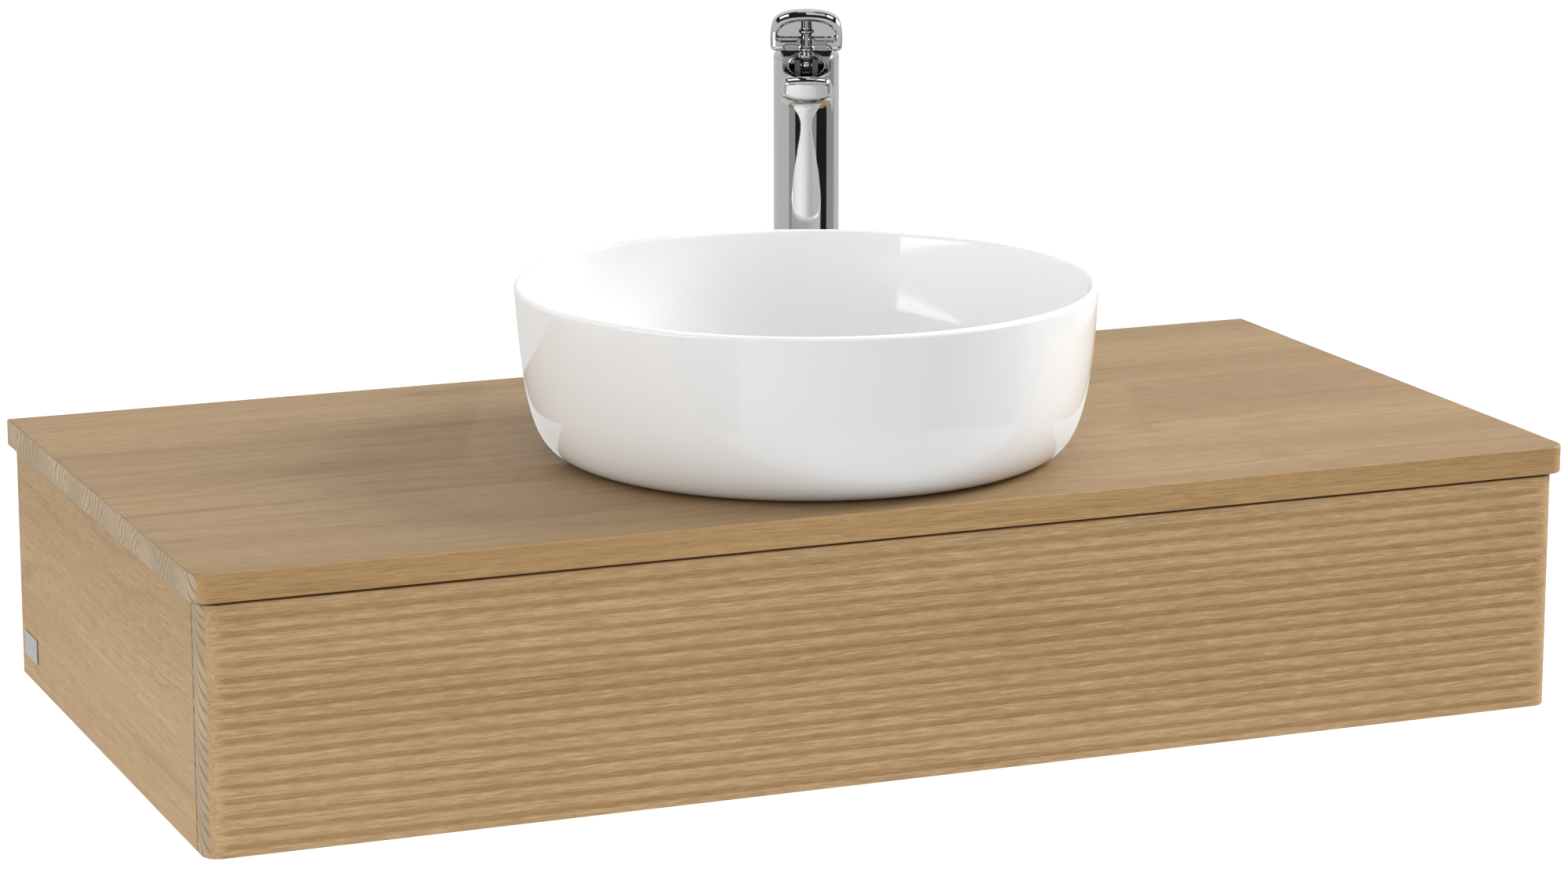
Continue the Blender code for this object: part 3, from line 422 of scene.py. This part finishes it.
def field_mesh(name, field, low, high, step):
    """A closed mesh of small quads on the zero level of a field, pulled exactly on to it."""
    axes = [np.arange(a - 2.5 * step, b + 2.5 * step, step) for a, b in zip(low, high)]
    value = field(*np.meshgrid(*axes, indexing="ij"))
    total = np.zeros((*value.shape, 3))
    count = np.zeros(value.shape)
    quads = []
    for axis in range(3):
        near = np.moveaxis(np.moveaxis(value, axis, 0)[:-1], 0, axis)
        far = np.moveaxis(np.moveaxis(value, axis, 0)[1:], 0, axis)
        corner = np.argwhere((near < 0) != (far < 0))
        a, b = near[tuple(corner.T)], far[tuple(corner.T)]
        crossing = corner.astype(float)
        crossing[:, axis] += a / (a - b)
        cells = cells_round(corner, axis)
        for cell in cells:
            np.add.at(total, tuple(cell.T), crossing)
            np.add.at(count, tuple(cell.T), 1)
        faces = np.stack(cells, 1)
        quads.append(np.where((a < 0)[:, None, None], faces, faces[:, ::-1]))
    used = np.argwhere(count > 0)
    number = np.zeros(value.shape, int)
    number[tuple(used.T)] = np.arange(len(used))
    points = total[tuple(used.T)] / count[tuple(used.T)][:, None] * step
    points += np.array([axis[0] for axis in axes])
    points = on_field(points, field, step)
    faces = number[tuple(np.moveaxis(np.concatenate(quads), 2, 0))]
    data = bpy.data.meshes.new(name)
    data.from_pydata(points.tolist(), [], faces.tolist())
    data.validate()
    return data


def on_field(points, field, step):
    """Points moved along the field's slope on to its zero level, by at most half a step."""
    start = points.copy()
    small = step * 0.05
    for _ in range(3):
        here = field(*points.T)
        slope = np.stack([field(*(points + shift).T) - field(*(points - shift).T)
                          for shift in np.eye(3) * small], 1) / (2 * small)
        size = np.maximum((slope ** 2).sum(1), 0.25)
        points = points - slope * (here / size)[:, None]
        moved = points - start
        length = np.linalg.norm(moved, axis=1)
        points = start + moved * np.minimum(1, 0.6 * step / np.maximum(length, 1e-12))[:, None]
    return points


# ---- wooden pieces ----
TOP_CORNER = 0.0125
TOP_EDGE = 0.0018
PANEL_EDGE = 0.0008
HOLE_LOW = 0.15            # the drills run past both faces of the worktop
HOLE_HIGH = 0.21
WASTE_HOLE = 0.0235
TAP_HOLE = 0.0175


def upright_front(a, b):
    return abs(a.z - b.z) > 1e-5 and (a.xy - b.xy).length < 1e-6 and a.y < 0


def cut(mesh, tool):
    """Take one closed mesh out of another."""
    objects = []
    for item in (mesh, tool):
        data = bpy.data.meshes.new("working")
        bmesh.ops.recalc_face_normals(item, faces=item.faces)
        item.to_mesh(data)
        item.free()
        objects.append(bpy.data.objects.new("working", data))
        bpy.context.scene.collection.objects.link(objects[-1])
    made = objects[0].modifiers.new("cut", "BOOLEAN")
    made.operation = "DIFFERENCE"
    made.object = objects[1]
    graph = bpy.context.evaluated_depsgraph_get()
    result = bmesh.new()
    result.from_mesh(bpy.data.meshes.new_from_object(objects[0].evaluated_get(graph)))
    for item in objects:
        bpy.data.objects.remove(item)
    return result


def drill(radius, x, y):
    profile = [(0, HOLE_LOW), (radius, HOLE_LOW), (radius, HOLE_HIGH), (0, HOLE_HIGH)]
    return turned(profile, (x, y, 0))


def make_worktop():
    mesh = box_mesh(TOP_LOW, TOP_HIGH)
    round_edges(mesh, upright_front, TOP_CORNER, 20)
    round_edges(mesh, lambda a, b: abs(a.z - b.z) < 1e-6, TOP_EDGE, 4)
    mesh = cut(mesh, drill(WASTE_HOLE, BASIN_X, BASIN_Y))
    mesh = cut(mesh, drill(TAP_HOLE, TAP_X, TAP_Y))
    piece("worktop_board", mesh, "cabinet", "oak", OAK_TOP, "worktop", 50)


def make_side_panel(word):
    low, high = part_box("side_panel_" + word)
    mesh = box_mesh(low, high)
    round_edges(mesh, lambda a, b: True, PANEL_EDGE, 3)
    piece("side_board_" + word, mesh, "cabinet", "oak", OAK_SIDE, "side_panel_" + word, 50)


GROOVES = 16
GROOVE_PITCH = 0.0101
GROOVE_LOW = 0.0065
GROOVE_HALF = 0.0026
GROOVE_DEPTH = 0.0018
GROOVE_END = 0.006        # plain wood left at each end of a groove
GROOVE_FADE = 0.012       # over which a groove comes to its full depth
RIB_CROWN = 0.00028
FRONT_CORNER = 0.012
FRONT_BEVEL = 0.0008
ROWS_PER_GROOVE = 14
CORNER_STEPS = 24
END_STEP = 0.0005         # between columns where the grooves die out


def front_rows():
    """Heights of the front's rows: dense enough across each groove to draw its hollow."""
    count = round((FRONT_HIGH.z - FRONT_LOW.z) / GROOVE_PITCH * ROWS_PER_GROOVE)
    span = FRONT_HIGH.z - FRONT_LOW.z - 2 * FRONT_BEVEL
    middle = [(FRONT_LOW.z + FRONT_BEVEL + span * index / count, 0.0) for index in range(count + 1)]
    low = [(FRONT_LOW.z + FRONT_BEVEL * (1 - math.cos(a)), FRONT_BEVEL * (1 - math.sin(a)))
           for a in (0, math.pi / 6, math.pi / 3)]
    high = [(FRONT_LOW.z + FRONT_HIGH.z - z, inset) for z, inset in reversed(low)]
    return low + middle + high


def front_columns():
    """Plan points of the front and their outward directions, from the left rear to the right rear."""
    half = FRONT_HIGH.x - FRONT_CORNER
    y = FRONT_LOW.y + FRONT_CORNER
    side = [((FRONT_LOW.x, FRONT_HIGH.y + (y - FRONT_HIGH.y) * t), (-1, 0)) for t in (0, 0.5)]
    corner = []
    for index in range(CORNER_STEPS + 1):
        angle = math.pi + math.pi / 2 * index / CORNER_STEPS
        corner.append(((-half + FRONT_CORNER * math.cos(angle), y + FRONT_CORNER * math.sin(angle)),
                       (math.cos(angle), math.sin(angle))))
    reach = [half - END_STEP * index for index in range(1, 16)]
    reach += [half * share for share in (0.93, 0.7, 0.4, 0.15)]
    flat = [((-x, FRONT_LOW.y), (0, -1)) for x in reach]
    left = side + corner + flat
    return left + [((-x, y), (-nx, ny)) for (x, y), (nx, ny) in reversed(left)]


def groove_depth(x, z):
    """How deep the ribbed face lies under its flat outline; the grooves die out towards both ends."""
    row = min(max(round((z - GROOVE_LOW) / GROOVE_PITCH), 0), GROOVES - 1)
    rise = abs(z - GROOVE_LOW - GROOVE_PITCH * row)
    fade = min(max((FRONT_HIGH.x - GROOVE_END - abs(x)) / GROOVE_FADE, 0.0), 1.0)
    fade = fade * fade * (3 - 2 * fade)
    between = min(rise / (GROOVE_PITCH / 2), 1.0)
    depth = RIB_CROWN * (1 - math.sin(math.pi / 2 * between))
    if rise < GROOVE_HALF:
        depth += GROOVE_DEPTH * (1 - (rise / GROOVE_HALF) ** 2) ** 1.15
    return depth * fade


def make_drawer_front():
    mesh = bmesh.new()
    rings = []
    for z, inset in front_rows():
        ring = []
        for (x, y), (nx, ny) in front_columns():
            depth = groove_depth(x, z) * max(-ny, 0) if inset == 0 else 0.0
            ring.append(mesh.verts.new((x - nx * inset, y - ny * inset + depth, z)))
        rings.append(ring)
    for low, high in zip(rings, rings[1:]):
        for index in range(len(low)):
            after = (index + 1) % len(low)
            mesh.faces.new((low[index], low[after], high[after], high[index]))
    mesh.faces.new(rings[0])
    mesh.faces.new(rings[-1])
    piece("ribbed_front", mesh, "drawer", "oak", OAK_FRONT, "drawer_front", 50)


# ---- basin and waste ----
BASIN_FOOT = 0.162
BASIN_WALL = 0.0065
BASIN_FLOOR = 0.012
WASTE_SEAT = 0.0022
WASTE_BORE = 0.0165
PLUG_CAP = 0.0046         # height of the cover over its stem


def make_basin():
    half = BASIN_WALL / 2
    rim = BASIN_HEIGHT - half
    outer = cubic((BASIN_FOOT, 0.0), (0.1930, 0.0), (0.1984, 0.0313), (BASIN_RADIUS, rim), 40)
    edge = arc((BASIN_RADIUS - half, rim), half, 0, 180, 12)[1:-1]
    inner = cubic((BASIN_RADIUS - BASIN_WALL, rim), (0.1900, 0.0430), (0.1830, BASIN_FLOOR + 0.0020),
                  (0.1420, BASIN_FLOOR + 0.0020), 44)
    dish = [(0.110, 0.0134), (0.080, 0.0128), (0.050, 0.0123)]
    lip = [(0.0362, BASIN_FLOOR), (0.0350, BASIN_FLOOR - 0.0004), (0.0343, BASIN_FLOOR - 0.0012),
           (0.0340, BASIN_FLOOR - WASTE_SEAT), (0.0225, BASIN_FLOOR - WASTE_SEAT), (0.0225, 0.003)]
    foot = [(0.1460, 0.003), (0.1468, 0.0008), (0.1480, 0.0)]
    profile = [(r, BASIN_Z + h) for r, h in outer + edge + inner + dish + lip + foot]
    mesh = turned(profile, (BASIN_X, BASIN_Y, 0), 192)
    piece("glazed_bowl", mesh, "cabinet", "glaze", None, "basin", 40)


def make_waste():
    place = (BASIN_X, BASIN_Y, 0)
    low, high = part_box("waste_flange")
    bore = WASTE_BORE
    top = high.z
    flange = [(bore, low.z), (0.0210, low.z), (0.0210, top - 0.0024), (0.0325, top - 0.0024),
              (0.0325, top - 0.0008), (0.0310, top), (bore + 0.001, top), (bore, top - 0.0014)]
    mesh = turned(rounded(flange, 0.0006), place)
    piece("waste_collar", mesh, "cabinet", "chrome", None, "waste_flange")
    low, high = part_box("waste_plug")
    cap = high.z - PLUG_CAP
    plug = [(0, low.z), (0.0040, low.z), (0.0040, cap), (0.0285, cap), (0.0290, cap + 0.0012)]
    plug += cubic((0.0290, cap + 0.0012), (0.0284, cap + 0.0034), (0.0150, cap + 0.0044),
                  (0, cap + PLUG_CAP), 10)[1:]
    piece("waste_button", turned(plug, place), "plug", "glaze", None, "waste_plug")


# ---- pipes and trap ----
PIPE_HOLE = 0.0163         # clears the pipes


def make_trap():
    x, y = (TRAP_LOW.x + TRAP_HIGH.x) / 2, TRAP_LOW.y + (TRAP_HIGH.x - TRAP_LOW.x) / 2
    axis = (x, y, 0)
    low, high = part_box("trap_cap")
    wide = (high.x - low.x) / 2
    cap = [(PIPE_HOLE, low.z + 0.0048), (0.0303, low.z + 0.0048), (0.0303, low.z), (wide, low.z),
           (wide, high.z - 0.0025), (0.0220, high.z), (PIPE_HOLE, high.z)]
    piece("trap_ring", turned(rounded(cap, 0.0008), axis), "cabinet", "white_plastic", None, "trap_cap")
    low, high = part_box("slip_nut")
    wide = (high.x - low.x) / 2
    nut = [(PIPE_HOLE, low.z), (wide - 0.0025, low.z), (wide, low.z + 0.0025), (wide, high.z),
           (0.0213, high.z), (0.0213, low.z + 0.0035), (PIPE_HOLE, low.z + 0.0035)]
    piece("waste_union", turned(rounded(nut, 0.0008), (BASIN_X, BASIN_Y, 0)), "cabinet", "white_plastic",
          None, "slip_nut")
    low, high = ROSETTE_LOW, ROSETTE_HIGH
    wide = (high.x - low.x) / 2
    rose = [(PIPE_HOLE, high.y), (wide, high.y), (wide - 0.0005, high.y - 0.0020)]
    rose += cubic((wide - 0.0005, high.y - 0.0020), (0.0290, high.y - 0.0070), (0.0250, low.y + 0.0010),
                  (0.0190, low.y), 10)[1:]
    rose.append((PIPE_HOLE, low.y))
    middle = ((low.x + high.x) / 2, 0, (low.z + high.z) / 2)
    mesh = turned(rose, middle, FINE, "Y")
    piece("wall_escutcheon", mesh, "cabinet", "white_plastic", None, "wall_rosette")


# ---- tap ----
COLUMN_HALF = 0.0245
COLUMN_MIDDLE = 0.0060    # widest line of the oval column
COLUMN_FRONT = 0.0290     # from the widest line to the front
COLUMN_REAR = 0.0170
COLUMN_LOW = 0.1935
COLUMN_TOP = 0.4355
SPOUT_TIP = 0.122
AERATOR = 0.106
PIVOT_Y = -0.006
PIVOT_Z = 0.4255
HANDLE_LOW = 0.4370
HANDLE_FRONT = -0.0180
HANDLE_REAR = 0.0090
HANDLE_LEAN = 0.14
HANDLE_REACH = 0.027      # half the hood's width, for its grid
HANDLE_TOP = 0.4665
COLLAR_HALF = 0.0060
COLLAR_TOP = 0.4398
NOTCH_TOP = 0.4470
STEM_HOLE = 0.0043
GRUB_Z = 0.4600
GRUB_RADIUS = 0.0022
SPOUT_ROOT = 0.010
SPOUT_HALF = 0.0200       # half width at the root, and how much narrower at the tip
SPOUT_NARROW = 0.0022
SPOUT_TOP = 0.4130        # upper face at the root, and its rise to the tip
SPOUT_RISE = 0.0215
SPOUT_UNDER = 0.4000      # the same for the underside
UNDER_RISE = 0.0170
SPOUT_BOW = 0.0040
NOSE_BEND = 0.4280        # below this the nose leans back
BORE_RADIUS = 0.0130
BORE_FLOOR = 0.3857
SEAT_RADIUS = 0.0098      # of the aerator's seat
SEAT_TOP = 0.4245
TAP_STEP = 0.0009         # grid steps of the two smooth solids
HOOD_STEP = 0.00055
SWELL = 0.0028            # how fast the spout's underside swells down the column
SWELL_NEAR = 0.0005
NOSE_LEAN = 0.34


def column_field(x, y):
    """The oval column in plan: half an ellipse in front, squarer behind."""
    behind = y > COLUMN_MIDDLE
    power = np.where(behind, 2.7, 2.0)
    deep = np.where(behind, COLUMN_REAR, COLUMN_FRONT)
    u, v = np.abs(x) / COLUMN_HALF, np.abs(y - COLUMN_MIDDLE) / deep
    level = u ** power + v ** power
    slope = power * np.hypot(u ** (power - 1) / COLUMN_HALF, v ** (power - 1) / deep)
    return (level - 1) / np.maximum(slope, 30.0)


def spout_field(x, y, z, plan):
    """The spout: a flat-topped blade that rises and narrows, with a bowed nose that leans back below."""
    reach = -y
    share = np.clip((reach - SPOUT_ROOT) / (SPOUT_TIP - SPOUT_ROOT), -0.2, 1.2)
    half = SPOUT_HALF - SPOUT_NARROW * share
    across = (x / half) ** 2
    top = SPOUT_TOP + SPOUT_RISE * share - 0.0010 * across
    off = np.maximum(plan, 0.0) + SWELL_NEAR
    under = SPOUT_UNDER + UNDER_RISE * share + SPOUT_BOW * across - SWELL ** 2 / off
    slope = (SWELL / off) ** 2
    lean = NOSE_LEAN * np.maximum(NOSE_BEND - z, 0)
    nose = (reach - SPOUT_TIP + SPOUT_BOW * across + lean) * 0.94
    blade = round_both(round_both(z - top, nose, 0.0062), np.abs(x) - half, 0.0042)
    blade = round_both(blade, (under - z) / np.sqrt(1 + slope ** 2), 0.0025)
    return np.maximum(blade, -reach)


def pocket_field(x, y, z):
    """The recess in the column's top that opens forward on to the spout."""
    share = (0.0125 - y) / 0.0425
    floor = 0.4362 - 0.0227 * share
    half = 0.0215 - 0.0075 * share
    wedge = np.maximum((floor - z) * 0.88, (np.abs(x) - half) * 0.98)
    return np.maximum(wedge, np.maximum(-0.0300 - y, y - 0.0125))


def shaft_field(x, y, radius, centre_y):
    return np.hypot(x, y - centre_y) - radius


def tap_field(x, y, z):
    plan = column_field(x, y)
    column = round_both(plan, z - COLUMN_TOP, 0.0050)
    column = round_both(column, COLUMN_LOW - z, 0.0006)
    body = round_either(column, spout_field(x, y, z, plan), 0.0008)
    body = round_both(body, -pocket_field(x, y, z), 0.0008)
    bore = np.maximum(shaft_field(x, y, BORE_RADIUS, PIVOT_Y), BORE_FLOOR - z)
    body = round_both(body, -bore, 0.0008)
    seat = np.maximum(shaft_field(x, y, SEAT_RADIUS, -AERATOR), z - SEAT_TOP)
    return round_both(body, -seat, 0.0005)


def make_tap_body():
    low = (-COLUMN_HALF, -SPOUT_TIP, COLUMN_LOW)
    high = (COLUMN_HALF, COLUMN_MIDDLE + COLUMN_REAR, COLUMN_TOP)
    mesh = field_mesh("tap_casting", tap_field, low, high, TAP_STEP)
    piece("tap_casting", mesh, "cabinet", "chrome", None, "tap_body", 60, ON_TAP, False)


def handle_outline():
    """The hood seen from the front: a round crown over sides that lean in slightly."""
    low = HANDLE_LOW
    corner = arc((0.0229, low + 0.0040), 0.0038, 270, 360, 5)
    top = low + 0.0295
    side = cubic(corner[-1], (0.0272, low + 0.0215), (0.0265, top), (0.0, top), 24)[1:]
    right = corner + side
    return right + [(-a, b) for a, b in reversed(right[:-1])]


def window_outline():
    """The front opening of the hood: a flat sill under a low arch."""
    sill = HANDLE_LOW + 0.0085
    corner = arc((0.0195, sill + 0.0025), 0.0025, 270, 350, 4)
    top = sill + 0.0140
    arch = cubic(corner[-1], (0.0222, sill + 0.0095), (0.0140, top), (0.0, top), 16)[1:]
    right = corner + arch
    return right + [(-a, b) for a, b in reversed(right[:-1])]


def handle_field(x, y, z):
    front = HANDLE_FRONT + HANDLE_LEAN * (z - HANDLE_LOW)
    faces = np.maximum(front - y, y - HANDLE_REAR)
    hood = round_both(outline_field(handle_outline(), x, z), faces, 0.0055)
    wall = 0.0030 + 0.105 * (z - 0.4455)
    window = np.maximum(outline_field(window_outline(), x, z), y - wall)
    hood = round_both(hood, -window, 0.0020)
    collar_room = np.maximum(np.maximum(np.abs(x) - COLLAR_HALF, y), z - COLLAR_TOP)
    notch = np.maximum(np.maximum(np.abs(x) - COLLAR_HALF, y + COLLAR_HALF), z - NOTCH_TOP)
    hood = round_both(hood, -np.minimum(collar_room, notch), 0.0006)
    slot = np.hypot(np.maximum(np.abs(x) - 0.0143, 0), z - HANDLE_LOW - 0.0036) - 0.0021
    hood = round_both(hood, -np.maximum(slot, y + 0.0130), 0.0006)
    relief = np.maximum((z - HANDLE_LOW + 0.0002 - 0.45 * (y - PIVOT_Y)) * 0.91, PIVOT_Y - y)
    hood = round_both(hood, -relief, 0.0008)
    spigot = np.maximum(shaft_field(x, y, STEM_HOLE, PIVOT_Y), np.maximum(0.4380 - z, z - 0.4620))
    hood = round_both(hood, -spigot, 0.0003)
    grub = np.maximum(np.hypot(x, z - GRUB_Z) - GRUB_RADIUS, PIVOT_Y - y)
    return round_both(hood, -grub, 0.0003)


def make_handle():
    low = (-HANDLE_REACH, HANDLE_FRONT, HANDLE_LOW)
    high = (HANDLE_REACH, HANDLE_REAR, HANDLE_TOP)
    mesh = field_mesh("lever_hood", handle_field, low, high, HOOD_STEP)
    piece("lever_hood", mesh, "lever", "chrome", None, "tap_handle", 60, ON_TAP, False)
    ball = arc((0, PIVOT_Z), 0.0036, -90, 30, 12)
    ball[0] = (0, ball[0][1])
    spigot = [(0.0026, 0.4285), (0.0040, 0.4300), (0.0060, 0.4315), (0.0060, 0.4335), (0.0042, 0.4355),
              (0.0052, 0.4370), (0.0052, 0.4385), (0.0040, 0.4395), (0.0040, 0.4495), (0.0058, 0.4505),
              (0.0058, 0.4515), (0.0040, 0.4530), (0.0040, 0.4615), (0, 0.4615)]
    stem = turned(rounded(ball + spigot, 0.0005), (0, PIVOT_Y, 0), 64)
    piece("lever_stem", stem, "lever", "chrome", None, "handle_stem", 40, ON_TAP)


def make_tap_trim():
    ring = [(0.0180, RING_LOW.z), (0.0262, RING_LOW.z), (0.0262, RING_HIGH.z), (0.0180, RING_HIGH.z)]
    mesh = turned(rounded(ring, 0.0006), (TAP_X, TAP_Y, 0))
    piece("tap_gasket", mesh, "cabinet", "rubber", None, "tap_base_ring")
    low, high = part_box("aerator")
    insert = [(0.0030, low.z), (0.0088, low.z), (0.0095, low.z + 0.0007), (0.0095, high.z),
              (0.0030, high.z)]
    mesh = turned(rounded(insert, 0.0004), (0, -AERATOR, 0), 64)
    piece("aerator_insert", mesh, "cabinet", "chrome", AERATOR_GREY, "aerator", 40, ON_TAP)


# ---- studio ----
FLOOR_Z = -0.66
VIEW_YAW = 0.384844       # the camera looks this far from +Y towards +X
VIEW_PITCH = 0.219987     # and this far down
VIEW_FROM = (-1.2796, -3.1669, 0.9487)
VIEW_LENS = 112.59
TOWARD = Vector((-math.sin(VIEW_YAW), -math.cos(VIEW_YAW), 0))     # level, to the camera
RIGHT = Vector((math.cos(VIEW_YAW), -math.sin(VIEW_YAW), 0))       # level, to its right
WORLD_STRENGTH = 0.76
CARD_HEIGHTS = (-0.64, 0.25)
CARD_REACH = 2.0
CEILING_Z = 2.5
PANEL_Z = 2.48
LIGHTS = (                # name, place, target, size and watts
    ("key_right", (4.3, 0.0, 3.1), (0, 0, 0.2), (2.4, 2.4), 265),
    ("top_fill", (-0.3, 0.2, 3.0), (0, 0, 0.2), (2.4, 2.0), 16),
    ("left_fill", (-3.4, -0.7, 0.4), (0, 0, 0.1), (2.0, 1.2), 34),
)
REFLECTED_ROUND = (       # cards round the tap: degrees from the camera's side, and strength
    ("left_side", (-179, -72), 0.74),
    ("grey_left", (-72, -46), 0.42),
    ("black_left", (-46, -23), 0.02),
    ("front_gap", (-23, -8), 0.74),
    ("grey_middle", (-8, 41), 0.42),
    ("black_right", (41, 85), 0.02),
    ("grey_right", (85, 121), 0.42),
    ("right_side", (121, 179), 0.74),
)
REFLECTED_ABOVE = (       # panels over the tap: metres to the right, towards the camera, and strength
    ("panel_left", (-1.30, -0.42), (-0.7, 0.6), 2.0),
    ("panel_middle", (0.0, 0.50), (-0.7, 0.5), 0.9),
    ("panel_right", (0.58, 1.30), (-0.7, 0.6), 2.0),
    ("panel_rear", (-0.14, 0.14), (-1.7, -1.2), 2.0),
)


def emitter(name, colour, strength):
    made = bpy.data.materials.new(name)
    made.use_nodes = True
    tree = made.node_tree
    glow = tree.nodes.new("ShaderNodeEmission")
    glow.inputs["Color"].default_value = (*colour, 1.0)
    glow.inputs["Strength"].default_value = strength
    tree.links.new(glow.outputs[0], tree.nodes["Material Output"].inputs["Surface"])
    return made


def reflector(name, mesh, strength):
    """A glowing card that is seen only in reflections."""
    data = bpy.data.meshes.new(name)
    mesh.to_mesh(data)
    mesh.free()
    data.materials.append(emitter(name, (1, 1, 1), strength))
    made = bpy.data.objects.new(name, data)
    bpy.context.scene.collection.objects.link(made)
    made.visible_camera = False
    made.visible_diffuse = False
    made.visible_transmission = False
    made.visible_shadow = False


def card(name, turns, strength):
    """An upright curved card round the tap; turns are degrees from the camera's side."""
    mesh = bmesh.new()
    steps = 12
    rows = []
    for z in CARD_HEIGHTS:
        row = []
        for index in range(steps + 1):
            angle = math.radians(turns[0] + (turns[1] - turns[0]) * index / steps)
            outward = math.cos(angle) * TOWARD + math.sin(angle) * RIGHT
            row.append(mesh.verts.new(Vector((TAP_X, TAP_Y, z)) + CARD_REACH * outward))
        rows.append(row)
    for index in range(steps):
        mesh.faces.new((rows[0][index], rows[0][index + 1], rows[1][index + 1], rows[1][index]))
    reflector(name, mesh, strength)


def level_card(name, across, toward, height, strength):
    """A level card at a height; metres from the tap to the right of and towards the camera."""
    mesh = bmesh.new()
    corners = ((0, 0), (1, 0), (1, 1), (0, 1))
    middle = Vector((TAP_X, TAP_Y, height))
    mesh.faces.new([mesh.verts.new(middle + across[a] * RIGHT + toward[b] * TOWARD)
                    for a, b in corners])
    reflector(name, mesh, strength)


def area_light(name, place, target, size, power):
    data = bpy.data.lights.new(name, "AREA")
    data.shape = "RECTANGLE"
    data.size, data.size_y = size
    data.energy = power
    made = bpy.data.objects.new(name, data)
    made.location = place
    made.rotation_euler = (Vector(target) - Vector(place)).to_track_quat("-Z", "Y").to_euler()
    bpy.context.scene.collection.objects.link(made)


def ground(name, height, paint, glow, seen):
    """A wide level floor: one is seen by the camera only, the other only lights and is reflected."""
    mesh = bmesh.new()
    bmesh.ops.create_grid(mesh, x_segments=1, y_segments=1, size=60)
    data = bpy.data.meshes.new(name)
    mesh.to_mesh(data)
    mesh.free()
    look = Look(name, (paint, paint, paint), 0.8)
    look.shader.inputs["Emission Color"].default_value = (1, 1, 1, 1)
    look.shader.inputs["Emission Strength"].default_value = glow
    data.materials.append(look.material)
    floor = bpy.data.objects.new(name, data)
    floor.location.z = height
    floor.visible_camera = seen
    floor.visible_diffuse = not seen
    floor.visible_glossy = not seen
    floor.visible_shadow = not seen
    bpy.context.scene.collection.objects.link(floor)


def make_studio():
    world = bpy.data.worlds.new("studio")
    bpy.context.scene.world = world
    world.use_nodes = True
    world.node_tree.nodes["Background"].inputs["Color"].default_value = (1, 1, 1, 1)
    world.node_tree.nodes["Background"].inputs["Strength"].default_value = WORLD_STRENGTH

    ground("floor_seen", FLOOR_Z, 0.0, 1.1, True)
    ground("floor_lit", FLOOR_Z - 0.005, 0.60, 0.06, False)
    for light in LIGHTS:
        area_light(*light)
    for name, turns, strength in REFLECTED_ROUND:
        card(name, turns, strength)
    level_card("ceiling_black", (-2.4, 2.4), (-2.4, 2.4), CEILING_Z, 0.02)
    for name, across, toward, strength in REFLECTED_ABOVE:
        level_card(name, across, toward, PANEL_Z, strength)
    level_card("under_spout", (-0.24, 0.24), (0.03, 0.30), TOP_HIGH.z + 0.002, 0.8)


def make_camera():
    data = bpy.data.cameras.new("view")
    data.lens = VIEW_LENS
    data.sensor_width = 36.0
    data.clip_end = 200
    camera = bpy.data.objects.new("view", data)
    camera.location = VIEW_FROM
    camera.rotation_euler = (math.pi / 2 - VIEW_PITCH, 0, -VIEW_YAW)
    bpy.context.scene.collection.objects.link(camera)
    bpy.context.scene.camera = camera
    bpy.context.scene.view_settings.view_transform = "Standard"
    bpy.context.scene.view_settings.look = "None"


def finish_nodes():
    """Give every CAD node the finish of its slot."""
    for part in frame["record"]["subparts"]:
        node = frame["nodes"][part["node"]]
        node.data.materials.clear()
        node.data.materials.append(FINISHES[part["material_slot"]])


finish_nodes()
make_worktop()
make_side_panel("left")
make_side_panel("right")
make_drawer_front()
make_basin()
make_waste()
make_trap()
make_tap_body()
make_handle()
make_tap_trim()
make_studio()
make_camera()
